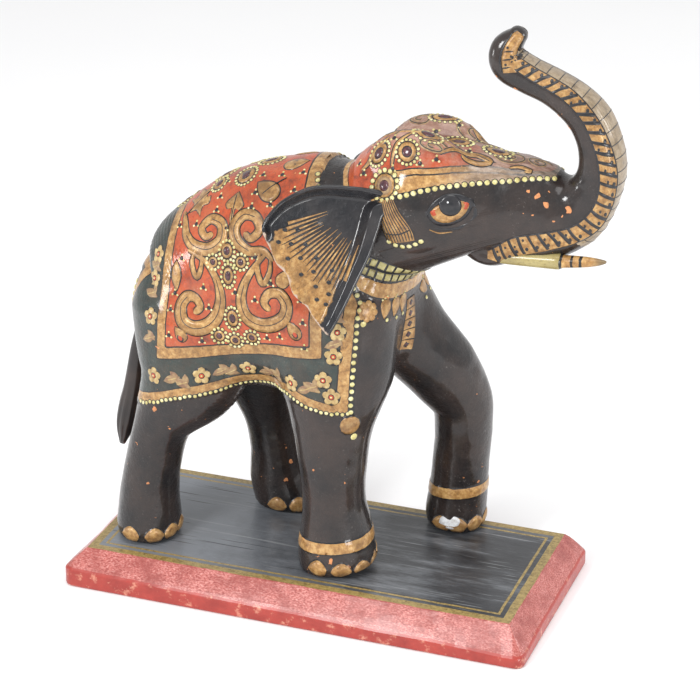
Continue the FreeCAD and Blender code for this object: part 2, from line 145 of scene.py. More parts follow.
def blob(centre, radii):
    centre, radii = np.asarray(centre, float), np.asarray(radii, float)

    def distance(points):
        q = points - centre
        ratio = np.sqrt(((q / radii)**2).sum(1)) + 1e-9
        length = np.linalg.norm(q, axis=1)
        return np.where(ratio > 0.5, length * (1 - 1 / np.maximum(ratio, 0.5)),
                        -(1 - ratio) * radii.min())
    return distance


def melt(a, b, reach):
    """Smooth union of two distances: the crease is rounded over reach."""
    h = np.maximum(reach - np.abs(a - b), 0) / reach
    return np.minimum(a, b) - h * h * h * reach / 6


def ramp(value, low, high):
    t = np.clip((value - low) / (high - low), 0, 1)
    return t * t * (3 - 2 * t)


lattice = rng.uniform(-1, 1, (24, 24, 24))


def wobble(points, wavelength):
    """Smooth value noise, -1 to 1, for the unevenness of hand carving."""
    q = points / wavelength + 50.0
    cell = np.floor(q).astype(int)
    f = q - cell
    f = f * f * (3 - 2 * f)
    total = 0.0
    for dx in (0, 1):
        for dy in (0, 1):
            for dz in (0, 1):
                corner = lattice[(cell[:, 0] + dx) % 24, (cell[:, 1] + dy) % 24,
                                 (cell[:, 2] + dz) % 24]
                wx = f[:, 0] if dx else 1 - f[:, 0]
                wy = f[:, 1] if dy else 1 - f[:, 1]
                wz = f[:, 2] if dz else 1 - f[:, 2]
                total = total + corner * wx * wy * wz
    return total


torso = Limb([(-86, YC, 170, 43.5, 36), (-71, YC, 181, 58, 43), (-40, YC, 192, 71, 48),
              (-8, YC, 199, 75, 49), (18, YC + 1, 203, 69, 46), (33, YC + 1, 199, 50, 38)],
             (0, 0, 1), caps=(0.8, 0.34), power=2.1)
LEG_ROWS = {
    "near_hind": [(-78, -8, 164, 44, 34), (-84, -17, 130, 33, 27), (-99, -22.5, 101, 18.5, 20.5),
                  (-106, -25, 76, 17, 18.5), (-109, -26, 55, 18, 19.5),
                  (-110, -26, 34, 20, 21.5), (-110, -26, 26, 19, 21)],
    "far_hind": [(-62, 24, 165, 44, 34), (-56, 32, 120, 28, 24), (-52, 37, 92, 18.5, 19),
                 (-49, 39, 68, 17.3, 18), (-47, 40, 45, 19.5, 18.5), (-43, 41, 30, 21, 20),
                 (-43, 41, 26, 20, 19)],
    "near_front": [(13, -12, 190, 37, 34), (13, -19, 150, 35, 29), (12.5, -23, 116, 24.5, 24),
                   (13.3, -24, 87, 20, 22), (13.8, -24, 66, 19.4, 21), (15.2, -24, 48, 22, 22.5),
                   (16.3, -25, 32, 24.4, 23.5), (17.5, -25, 26, 23, 22.5)],
    "far_front": [(27, 22, 190, 26, 30), (42, 31, 160, 25, 26), (60, 41, 134, 23.5, 22),
                  (71.5, 47, 113, 19, 19), (72.8, 49, 92, 18, 18), (71.5, 50, 70, 17.8, 17.5),
                  (69.8, 51, 50, 18.3, 17.5), (68, 51, 34, 19, 18), (67.5, 51, 26, 18, 17)],
}
legs = {name: Limb(rows, (1, 0, 0), caps=(0.8, 0.2), power=2.1)
        for name, rows in LEG_ROWS.items()}
neck = Limb([(8, YC, 216, 48, 40), (28, YC, 236, 36, 35), (45, YC, 252, 32, 33)],
            (-0.6, 0, 1), caps=(0.6, 0.6))
head = Limb([(36, YC, 258, 32, 32), (58, YC, 259, 37, 37), (84, YC, 263, 32.5, 30),
             (108, YC, 261.5, 30, 23), (132, YC, 261.5, 27.5, 19)],
            (-0.1, 0, 1), caps=(0.7, 0.8), power=2.2)
domes = [blob((60, YC - 15, 281), (31.5, 14.5, 24)),
         blob((62.5, YC + 16.5, 281), (30.5, 15.5, 23.5))]
TRUNK_ROWS = [(116, YC, 259, 20, 29), (138, YC, 257, 18, 23), (154, YC, 265, 16.5, 18.5),
              (164, YC, 282, 15.5, 14), (165, YC, 300.5, 14.5, 12.5), (158, YC, 318, 14, 11),
              (147, YC, 329, 13, 9.8), (134.5, YC, 336, 12, 9), (121, YC, 341, 11, 9.2),
              (110, YC, 346.5, 10.4, 9.8), (107.5, YC, 355.5, 9.3, 8.8), (113.5, YC, 364, 6, 5)]
trunk = Limb(TRUNK_ROWS, (0, 1, 0), caps=(0.8, 0.8), power=2.7)
jaw = Limb([(44, YC, 233, 22, 30), (61, YC, 235.5, 18.5, 25), (76, YC, 243, 12.5, 18),
            (88, YC, 241, 9, 14), (97, YC, 233, 7.4, 17), (106, YC, 232, 7, 17),
            (114, YC, 234.5, 5, 14)],
           (0, 0, 1), caps=(0.8, 0.8))


def bare(points):
    """Signed distance to the carved wood, before the painted relief."""
    d = torso(points)
    for leg in legs.values():
        d = melt(d, leg(points), 18)
    d = melt(d, neck(points), 14)
    h = melt(head(points), jaw(points), 10)
    for dome in domes:
        h = melt(h, dome(points), 7)
    h = melt(h, trunk(points), 12)
    d = melt(d, h, 8)
    return np.maximum(d, BOARD_TOP - points[:, 2])


# Edges of the painted cloth, cap and bands: all are distances in millimetres, positive inside.

HEM = np.array([(-130, 111), (-109, 116), (-81, 126), (-51, 134), (-25, 139), (-9, 140),
                (6, 136), (18, 134), (40, 134)], float)
CAP_BEADS = np.array([(10, 250), (40, 266), (56, 273), (68, 277), (81, 279), (94, 280),
                      (111, 282), (139, 284)], float)
CAP_LINE = np.array([(10, 250), (40, 272), (46, 279), (62, 284), (84, 286), (122, 286),
                     (139, 286)], float)
CAP_RED = np.array([(10, 250), (36, 262), (43, 283), (62, 288), (83, 290), (104, 289),
                    (121, 288), (139, 287)], float)
JOINT_NORMAL = np.array([math.sin(math.radians(50)), 0, math.cos(math.radians(50))])
JOINT_POINT = np.array([40, YC, 238.0])
COLLAR_NORMAL = np.array([0.497, 0, 0.868])


def along(table, x):
    return np.interp(x, table[:, 0], table[:, 1])


def cloth_edge(p):
    x, y, z = p.T
    lower = 33.5 + 0.055 * (z - 138) - x
    upper = (37 - x) * 0.88 - (z - 206) * 0.475
    hem = (z - along(HEM, x)) * 1.15
    slit = np.maximum(np.maximum(np.abs(y - YC) - 16, z - 194), x + 92)
    return np.minimum(np.minimum(lower, upper), np.minimum(hem, slit))


def panel_edge(p):
    x, y, z = p.T
    front = 6.5 - 0.21 * np.maximum(z - 206, 0) - x
    bottom = (z - (161 + 0.18 * (x + 87))) * 1.05
    rear = (x + 88) * 1.3
    return np.minimum(np.minimum(front, bottom), rear)


def joint_distance(p):
    return (p - JOINT_POINT) @ JOINT_NORMAL


def collar_distance(p):
    return p @ COLLAR_NORMAL


def cap_edge(p):
    return np.minimum(p[:, 2] - along(CAP_BEADS, p[:, 0]), joint_distance(p) - 0.5)


ANKLETS = {"near_front": (40, 47), "far_front": (48.8, 56)}


def anklet_edge(p):
    """Inside distance of the nearest gold anklet."""
    best = np.full(len(p), -50.0)
    for name, (low, high) in ANKLETS.items():
        around = 34 - np.hypot(p[:, 0] - LEG_ROWS[name][4][0], p[:, 1] - LEG_ROWS[name][4][1])
        tilt = 0.10 * (p[:, 0] - LEG_ROWS[name][4][0])
        inside = np.minimum(p[:, 2] - low - tilt, high + tilt - p[:, 2])
        best = np.maximum(best, np.minimum(inside, around))
    return best


def carving(points):
    """Signed distance to the finished carving: relief of the cloth, cap, collar and anklets."""
    d = bare(points)
    near = np.abs(d) < 12
    p = points[near]
    edge = cloth_edge(p)
    lip = 1.8 * ramp(p[:, 2], 212, 258) * ramp(edge, -0.3, 0.9) * (1 - ramp(edge, 4, 26))
    relief = 0.8 * ramp(edge, -0.6, 0.7) + lip
    relief += 0.35 * ramp(cap_edge(p), -0.5, 0.6) * (edge < 0)
    collar = collar_distance(p)
    free = ramp(-edge, 0, 1.5) * (p[:, 0] > 0) * (joint_distance(p) < 6)
    relief += free * 0.9 * ramp(collar, 200.4, 201.6) * (1 - ramp(collar, 208, 209.2))
    relief += free * 0.6 * ramp(collar, 209.2, 210.2) * (1 - ramp(collar, 223, 224))
    relief += 0.5 * ramp(anklet_edge(p), -0.5, 0.6)
    hand_cut = 0.42 * wobble(p, 19.0) + 0.14 * wobble(p, 7.0)
    d[near] += hand_cut - relief
    return d


# ============================================================ polygons from the carving

def slope(field, points, step=0.4):
    columns = []
    for axis in np.eye(3) * step:
        columns.append(field(points + axis) - field(points - axis))
    vector = np.stack(columns, 1)
    return vector / (np.linalg.norm(vector, axis=1)[:, None] + 1e-12), \
        np.linalg.norm(vector, axis=1) / (2 * step)


def surface_net(field, low, high, cell, block=12):
    """Quads over the zero surface of a field, by surface nets on the cells near it."""
    low = np.asarray(low, float)
    counts = np.ceil((np.asarray(high) - low) / cell / block).astype(int) * block
    coarse = [low[a] + cell * (np.arange(0, counts[a], block) + block / 2) for a in range(3)]
    mesh = np.stack(np.meshgrid(*coarse, indexing="ij"), -1).reshape(-1, 3)
    live = np.abs(field(mesh)) < cell * block * 0.95
    grid = np.full(counts + 1, 1e3, np.float32)
    corner = np.stack(np.meshgrid(*[np.arange(block + 1)] * 3, indexing="ij"), -1).reshape(-1, 3)
    starts = np.stack(np.meshgrid(*[np.arange(0, c, block) for c in counts], indexing="ij"),
                      -1).reshape(-1, 3)[live]
    for begin in range(0, len(starts), 60):
        ids = (starts[begin:begin + 60, None] + corner[None]).reshape(-1, 3)
        grid[tuple(ids.T)] = field(low + ids * cell)
    # Cells never sampled keep a large value: give the inside ones a negative sign.
    inside = mesh[~live][field(mesh[~live]) < 0]
    for start in np.round((inside - low) / cell - block / 2).astype(int):
        span = tuple(slice(s, s + block + 1) for s in start)
        part = grid[span]
        part[part > 900] = -1e3
    sign = grid < 0
    corners = [(dx, dy, dz) for dx in (0, 1) for dy in (0, 1) for dz in (0, 1)]
    views = [sign[dx:dx + counts[0], dy:dy + counts[1], dz:dz + counts[2]]
             for dx, dy, dz in corners]
    total = sum(v.astype(np.int8) for v in views)
    cells = np.argwhere((total > 0) & (total < 8))
    index = np.full(counts, -1, np.int32)
    index[tuple(cells.T)] = np.arange(len(cells))
    verts = low + (cells + 0.5) * cell
    faces = []
    for axis in range(3):
        b, c = (axis + 1) % 3, (axis + 2) % 3
        step = np.eye(3, dtype=int)
        lower = sign[tuple(slice(0, counts[a]) if a == axis else slice(0, counts[a] + 1)
                           for a in range(3))]
        upper = sign[tuple(slice(1, counts[a] + 1) if a == axis else slice(0, counts[a] + 1)
                           for a in range(3))]
        edges = np.argwhere(lower != upper)
        keep = (edges[:, b] > 0) & (edges[:, c] > 0) & (edges[:, b] < counts[b]) \
            & (edges[:, c] < counts[c])
        edges = edges[keep]
        flip = lower[tuple(edges.T)]
        quad = np.stack([index[tuple((edges - step[b] - step[c]).T)],
                         index[tuple((edges - step[c]).T)], index[tuple(edges.T)],
                         index[tuple((edges - step[b]).T)]], 1)
        quad[~flip] = quad[~flip][:, ::-1]
        faces.append(quad[(quad >= 0).all(1)])
    for _ in range(3):
        verts = to_surface(field, verts)
    return verts, np.vstack(faces)


def to_surface(field, points, lift=0.0):
    """Move points along the field's slope until they lie lift above its surface."""
    normal, rate = slope(field, points)
    return points - normal * ((field(points) - lift) / np.clip(rate, 0.5, 2.0))[:, None]


# ============================================================ materials

def colour(red, green, blue):
    return (red, green, blue, 1.0)


class Paint:
    """A procedural material; its methods add one node each and return that node's output."""

    def __init__(self, name, roughness=0.4, metallic=0.0, coat=0.0, coat_roughness=0.1):
        self.material = bpy.data.materials.new(name)
        self.material.use_nodes = True
        self.nodes = self.material.node_tree.nodes
        self.links = self.material.node_tree.links
        self.shader = self.nodes["Principled BSDF"]
        self.shader.inputs["Roughness"].default_value = roughness
        self.shader.inputs["Metallic"].default_value = metallic
        self.shader.inputs["Specular IOR Level"].default_value = 0.5 * (1 - coat)
        self.shader.inputs["Coat Weight"].default_value = coat
        self.shader.inputs["Coat Roughness"].default_value = coat_roughness
        self.place = self.add("ShaderNodeTexCoord").outputs["Object"]

    def add(self, kind, **settings):
        node = self.nodes.new(kind)
        for key, value in settings.items():
            setattr(node, key, value)
        return node

    def connect(self, source, socket):
        if isinstance(source, bpy.types.NodeSocket):
            self.links.new(source, socket)
        else:
            socket.default_value = source

    def attribute(self, name):
        return self.add("ShaderNodeAttribute", attribute_name=name).outputs["Fac"]

    def noise(self, scale, detail=4.0, roughness=0.6, stretch=None):
        node = self.add("ShaderNodeTexNoise")
        self.connect(self.stretched(stretch) if stretch else self.place, node.inputs["Vector"])
        node.inputs["Scale"].default_value = scale
        node.inputs["Detail"].default_value = detail
        node.inputs["Roughness"].default_value = roughness
        return node.outputs["Fac"]

    def stretched(self, factors):
        node = self.add("ShaderNodeMapping")
        self.connect(self.place, node.inputs["Vector"])
        node.inputs["Scale"].default_value = factors
        return node.outputs["Vector"]

    def cells(self, scale, feature="F1", stretch=None):
        node = self.add("ShaderNodeTexVoronoi", feature=feature)
        self.connect(self.stretched(stretch) if stretch else self.place, node.inputs["Vector"])
        node.inputs["Scale"].default_value = scale
        return node.outputs["Distance"]

    def math(self, operation, a, b=0.0):
        node = self.add("ShaderNodeMath", operation=operation)
        self.connect(a, node.inputs[0])
        self.connect(b, node.inputs[1])
        return node.outputs[0]

    def step(self, value, low, high):
        """0 below low, 1 above high."""
        node = self.add("ShaderNodeMapRange")
        self.connect(value, node.inputs["Value"])
        node.inputs["From Min"].default_value = low
        node.inputs["From Max"].default_value = high
        return node.outputs["Result"]

    def ramp(self, value, *stops):
        node = self.add("ShaderNodeValToRGB")
        self.connect(value, node.inputs["Fac"])
        elements = node.color_ramp.elements
        while len(elements) < len(stops):
            elements.new(0.5)
        for element, (position, tint) in zip(elements, stops):
            element.position = position
            element.color = tint
        return node.outputs["Color"]

    def mix(self, amount, a, b, blend="MIX"):
        node = self.add("ShaderNodeMix", data_type="RGBA", blend_type=blend)
        self.connect(amount, node.inputs[0])
        self.connect(a, node.inputs[6])
        self.connect(b, node.inputs[7])
        return node.outputs[2]

    def blend(self, amount, a, b):
        node = self.add("ShaderNodeMix")
        self.connect(amount, node.inputs[0])
        self.connect(a, node.inputs[2])
        self.connect(b, node.inputs[3])
        return node.outputs[0]

    def finish(self, base, height=None, depth=0.0004, strength=0.5, roughness=None,
               metallic=None):
        self.connect(base, self.shader.inputs["Base Color"])
        if roughness is not None:
            self.connect(roughness, self.shader.inputs["Roughness"])
        if metallic is not None:
            self.connect(metallic, self.shader.inputs["Metallic"])
        if height is not None:
            bump = self.add("ShaderNodeBump")
            bump.inputs["Strength"].default_value = strength
            bump.inputs["Distance"].default_value = depth
            self.connect(height, bump.inputs["Height"])
            self.links.new(bump.outputs["Normal"], self.shader.inputs["Normal"])
        return self.material


LACQUER_DARK = colour(0.010, 0.0085, 0.0088)
LACQUER_BROWN = colour(0.036, 0.024, 0.020)
BARE_WOOD = colour(0.60, 0.24, 0.09)
GOLD_DARK = colour(0.17, 0.085, 0.028)
GOLD = colour(0.36, 0.19, 0.062)
GOLD_LIGHT = colour(0.58, 0.37, 0.15)
RED = colour(0.41, 0.064, 0.018)
RED_WORN = colour(0.45, 0.120, 0.046)
GREEN_BLACK = colour(0.014, 0.022, 0.020)
BEAD = colour(0.55, 0.49, 0.19)


def lacquer_tint(paint):
    """Brown-black lacquer, browner where it is rubbed thin."""
    worn = paint.noise(28, 6, 0.65)
    return paint.ramp(worn, (0.36, LACQUER_DARK), (0.66, LACQUER_BROWN))


def gold_tint(paint):
    streaks = paint.noise(260, 5, 0.7)
    cloud = paint.noise(45, 3, 0.5)
    tint = paint.ramp(streaks, (0.30, GOLD_DARK), (0.48, GOLD), (0.70, GOLD_LIGHT))
    return paint.mix(paint.step(cloud, 0.58, 0.8), tint, GOLD_DARK)


def grime(paint, tint, amount=0.55):
    """Brown dirt settled in the brush marks, in fine specks and in wider clouds."""
    specks = paint.step(paint.noise(620, 4, 0.7), 0.52, 0.70)
    clouds = paint.step(paint.noise(75, 5, 0.65), 0.44, 0.70)
    dirt = paint.math("MULTIPLY", paint.math("MAXIMUM", specks, paint.math(
        "MULTIPLY", clouds, 0.8)), amount)
    return paint.mix(dirt, tint, colour(0.075, 0.045, 0.028))


def chips(paint, scale, low, high):
    """Small flakes where the paint has come off down to the wood."""
    flakes = paint.noise(scale, 3, 0.55)
    patches = paint.noise(scale * 0.21, 2, 0.5)
    return paint.math("MULTIPLY", paint.step(flakes, low, high), paint.step(patches, 0.50, 0.58))


def painted_wood():
    """The whole carved block: each painted zone is cut from the distances kept on the mesh."""
    paint = Paint("painted_wood", coat=0.75, coat_roughness=0.13)
    shake = paint.math("MULTIPLY", paint.math("SUBTRACT", paint.noise(190, 2), 0.5), 0.9)

    def zone(name):
        return paint.math("ADD", paint.attribute(name), shake)

    cloth, panel, cap = zone("cloth"), zone("panel"), zone("cap")
    band, collar, anklet = zone("brow"), zone("collar"), zone("anklet")

    def inside(value, low, high=None):
        mask = paint.math("GREATER_THAN", value, low)
        return mask if high is None else paint.math(
            "MULTIPLY", mask, paint.math("LESS_THAN", value, high))

    gold = gold_tint(paint)
    rub = paint.noise(70, 6, 0.7)
    red = paint.ramp(rub, (0.32, colour(0.13, 0.026, 0.014)), (0.47, RED), (0.72, RED_WORN))
    green = paint.ramp(rub, (0.40, GREEN_BLACK), (0.68, colour(0.036, 0.050, 0.043)))
    body = lacquer_tint(paint)
    line = colour(0.010, 0.010, 0.012)
    tint = body
    tint = paint.mix(inside(anklet, 0.0), tint, gold)
    tint = paint.mix(inside(anklet, -0.9, 0.0), tint, line)
    tint = paint.mix(inside(collar, 201.0, 208.6), tint, gold)
    tint = paint.mix(inside(collar, 208.6, 209.8), tint, line)
    tint = paint.mix(inside(collar, 200.2, 201.0), tint, line)
    tint = paint.mix(inside(cap, 0.4), tint, gold)
    tint = paint.mix(inside(band, 0.0), tint, red)
    tint = paint.mix(inside(band, -0.8, 0.0), tint, line)
    tint = paint.mix(inside(zone("brow_line"), -0.45, 0.45), tint, line)
    # The cap goes grey-brown at the front, where its paint is worn; over the dome tops and the
    # upper far side the grey is partly wear and partly a painted sheen.
    spot = paint.add("ShaderNodeSeparateXYZ")
    paint.connect(paint.place, spot.inputs[0])
    drift = paint.math("MULTIPLY", paint.math("SUBTRACT", rub, 0.5), 0.05)
    forward = paint.step(paint.math("ADD", spot.outputs[0], drift), 0.074, 0.100)
    aside = paint.math("MULTIPLY", paint.step(paint.math("ADD", spot.outputs[1], drift), -0.001,
                                              0.008),
                       paint.step(paint.math("ADD", spot.outputs[2], drift), 0.276, 0.290))
    forward = paint.math("MAXIMUM", forward, aside)
    upper = paint.step(paint.math("ADD", spot.outputs[2], drift), 0.288, 0.300)
    # This mask holds the front's wear and, on the dome tops and far side, a painted sheen.
    thin = paint.math("MULTIPLY", paint.math("MAXIMUM", forward, paint.math(
        "MULTIPLY", upper, 0.8)), inside(cap, 0.4))
    streak = paint.ramp(paint.noise(170, 5, 0.7, stretch=(0.25, 1.2, 1.4)),
                        (0.32, colour(0.06, 0.047, 0.040)), (0.50, colour(0.23, 0.175, 0.135)),
                        (0.70, colour(0.43, 0.37, 0.32)))
    tint = paint.mix(paint.math("MULTIPLY", thin, 0.78), tint, streak)
    cloth_tint = paint.mix(inside(cloth, 3.4), line, gold)
    cloth_tint = paint.mix(inside(cloth, 9.6), cloth_tint, line)
    cloth_tint = paint.mix(inside(cloth, 10.4), cloth_tint, green)
    cloth_tint = paint.mix(inside(panel, -9.0), cloth_tint, line)
    cloth_tint = paint.mix(inside(panel, -8.2), cloth_tint, gold)
    cloth_tint = paint.mix(inside(panel, -1.1), cloth_tint, line)
    cloth_tint = paint.mix(inside(panel, 0.0), cloth_tint, red)
    tint = paint.mix(inside(cloth, 0.0), tint, grime(paint, cloth_tint))
    flakes = chips(paint, 300, 0.715, 0.72)
    tint = paint.mix(flakes, tint, BARE_WOOD)
    dust = paint.math("MULTIPLY", paint.step(paint.noise(800, 3, 0.6), 0.62, 0.72),
                      paint.step(rub, 0.48, 0.66))
    tint = paint.mix(paint.math("MULTIPLY", dust, 0.30), tint, colour(0.45, 0.41, 0.38))
    crackle = paint.cells(330, "DISTANCE_TO_EDGE")
    height = paint.math("SUBTRACT", paint.noise(300, 5), paint.math(
        "MULTIPLY", flakes, 0.8))
    height = paint.math("SUBTRACT", height, paint.math(
        "MULTIPLY", paint.step(crackle, 0.05, 0.0), 0.25))
    height = paint.math("ADD", height, paint.math("MULTIPLY", paint.noise(85, 3), 3.4))
    rough = paint.blend(rub, 0.22, 0.55)
    return paint.finish(tint, height, 0.001, 0.55, roughness=rough)


def tail_lacquer():
    paint = Paint("tail_lacquer", roughness=0.3, coat=0.8, coat_roughness=0.12)
    tint = lacquer_tint(paint)
    flakes = chips(paint, 300, 0.715, 0.72)
    tint = paint.mix(flakes, tint, BARE_WOOD)
    height = paint.math("SUBTRACT", paint.noise(300, 5), flakes)
    return paint.finish(tint, height, 0.0005, 0.45)


def gold_paint():
    paint = Paint("gold_paint", roughness=0.38, metallic=0.15, coat=0.35, coat_roughness=0.2)
    return paint.finish(grime(paint, gold_tint(paint), 0.6), paint.noise(420, 4), 0.0003, 0.35)


def line_paint():
    paint = Paint("line_paint", roughness=0.35, coat=0.5, coat_roughness=0.15)
    tint = paint.ramp(paint.noise(300, 3), (0.35, colour(0.008, 0.009, 0.012)),
                      (0.75, colour(0.030, 0.028, 0.030)))
    return paint.finish(tint, paint.noise(500, 3), 0.0002, 0.3)


# Roughness, cloud size, relief size, then the tints from dark to light across the colour clouds.
BEAD_LOOK = (0.38, 240, 600, (0.28, colour(0.45, 0.36, 0.13)), (0.45, BEAD),
             (0.72, colour(0.82, 0.78, 0.50)))
PETAL_LOOK = (0.42, 330, 500, (0.30, colour(0.30, 0.19, 0.08)), (0.50, colour(0.46, 0.32, 0.13)),
              (0.72, colour(0.56, 0.45, 0.23)))
TILE_LOOK = (0.38, 240, 600, (0.30, colour(0.20, 0.16, 0.055)), (0.50, colour(0.38, 0.33, 0.13)),
             (0.72, colour(0.52, 0.48, 0.26)))


def grimy_paint(name, roughness, clouds, relief, *tints):
    """Thick pale paint with dirt in it: beads, flower petals and the collar's squares."""
    paint = Paint(name, roughness=roughness, coat=0.4, coat_roughness=0.2)
    tint = paint.ramp(paint.noise(clouds, 4), *tints)
    return paint.finish(grime(paint, tint, 0.4), paint.noise(relief, 3), 0.0002, 0.3)


def jewel_paint():
    paint = Paint("jewel_paint", roughness=0.25, coat=0.8, coat_roughness=0.1)
    tint = paint.ramp(paint.noise(350, 3), (0.35, colour(0.030, 0.012, 0.018)),
                      (0.7, colour(0.11, 0.040, 0.045)))
    return paint.finish(tint, paint.noise(500, 3), 0.0002, 0.3)


def leaf_paint():
    paint = Paint("leaf_paint", roughness=0.42, coat=0.4, coat_roughness=0.2)
    tint = paint.ramp(paint.noise(330, 4), (0.32, colour(0.17, 0.085, 0.05)),
                      (0.70, colour(0.36, 0.25, 0.12)))
    return paint.finish(tint, paint.noise(500, 3), 0.0002, 0.3)


def red_paint():
    paint = Paint("red_paint", roughness=0.4, coat=0.4, coat_roughness=0.2)
    tint = paint.ramp(paint.noise(160, 5), (0.32, colour(0.38, 0.05, 0.02)), (0.7, RED))
    return paint.finish(tint, paint.noise(400, 3), 0.0002, 0.3)


def dowel_wood():
    paint = Paint("dowel_wood", roughness=0.65)
    grain = paint.noise(90, 6, 0.6, stretch=(1, 1, 0.12))
    tint = paint.ramp(grain, (0.3, colour(0.36, 0.17, 0.07)), (0.7, colour(0.66, 0.40, 0.20)))
    return paint.finish(tint, grain, 0.0003, 0.4)


def screw_steel():
    paint = Paint("screw_steel", roughness=0.35, metallic=1.0)
    tint = paint.ramp(paint.noise(300, 4), (0.3, colour(0.30, 0.29, 0.28)),
                      (0.7, colour(0.62, 0.61, 0.59)))
    return paint.finish(tint, paint.noise(700, 3), 0.0001, 0.3)


def chip_wood(name, pale, dark):
    """Wood or filler where the paint is gone; the pale filler also paints the eye's highlight dot.
    """
    paint = Paint(name, roughness=0.7)
    tint = paint.ramp(paint.noise(380, 4), (0.32, dark), (0.62, pale))
    return paint.finish(tint, paint.noise(500, 4), 0.0003, 0.5)


def ear_wood():
    """The ear: blue-black hollow, gold outer zone, bare wood along the chipped lower edge."""
    paint = Paint("ear_wood", roughness=0.26, coat=0.85, coat_roughness=0.1)
    tint = paint.ramp(paint.noise(40, 6, 0.65), (0.36, colour(0.009, 0.010, 0.013)),
                      (0.66, colour(0.032, 0.029, 0.030)))
    wave = paint.math("MULTIPLY", paint.math("SUBTRACT", paint.noise(230, 3), 0.5), 3.5)
    zone = paint.math("ADD", paint.attribute("ochre"), wave)
    tint = paint.mix(paint.step(zone, -0.4, 0.4), tint, grime(paint, gold_tint(paint), 0.7))
    edge = paint.math("ADD", paint.attribute("edge"), paint.math(
        "MULTIPLY", paint.math("SUBTRACT", paint.noise(160, 4), 0.5), 7.0))
    tint = paint.mix(paint.step(edge, 0.9, 0.2), tint, colour(0.42, 0.32, 0.25))
    flakes = chips(paint, 300, 0.715, 0.72)
    tint = paint.mix(flakes, tint, BARE_WOOD)
    height = paint.math("ADD", paint.noise(260, 5), paint.math(
        "MULTIPLY", paint.noise(80, 3), 2.6))
    return paint.finish(tint, height, 0.001, 0.55)


def pale_paint():
    """The outer face of the trunk: thin greyish gold, its pale grey partly a painted sheen."""
    paint = Paint("pale_paint", roughness=0.36, coat=0.5, coat_roughness=0.18)
    tint = paint.ramp(paint.noise(150, 6, 0.7), (0.30, colour(0.13, 0.095, 0.06)),
                      (0.50, colour(0.29, 0.22, 0.14)), (0.72, colour(0.45, 0.37, 0.27)))
    return paint.finish(grime(paint, tint, 0.4), paint.noise(420, 4), 0.0003, 0.3)


def tusk_wood():
    """Pale yellow root, then gold and dark rings to a brown point, by place along X."""
    paint = Paint("tusk_wood", roughness=0.35, coat=0.5, coat_roughness=0.15)
    x = paint.add("ShaderNodeSeparateXYZ")
    paint.connect(paint.place, x.inputs[0])
    along_x = paint.math("ADD", x.outputs[0], paint.math(
        "MULTIPLY", paint.math("SUBTRACT", paint.noise(300, 2), 0.5), 0.0012))
    ivory = grime(paint, paint.ramp(paint.noise(150, 4), (0.35, colour(0.28, 0.22, 0.08)),
                                    (0.7, colour(0.46, 0.39, 0.17))), 0.6)
    tint = paint.mix(paint.step(along_x, 0.1470, 0.1475), ivory, gold_tint(paint))
    for low, high in ((0.1466, 0.1480), (0.1530, 0.1545), (0.1580, 0.1598)):
        ring = paint.math("MULTIPLY", paint.step(along_x, low, low + 0.0002),
                          paint.step(along_x, high + 0.0002, high))
        tint = paint.mix(ring, tint, colour(0.012, 0.012, 0.012))
    tint = paint.mix(paint.step(along_x, 0.165, 0.171), tint, colour(0.17, 0.12, 0.06))
    return paint.finish(tint, paint.noise(320, 4), 0.0003, 0.4)


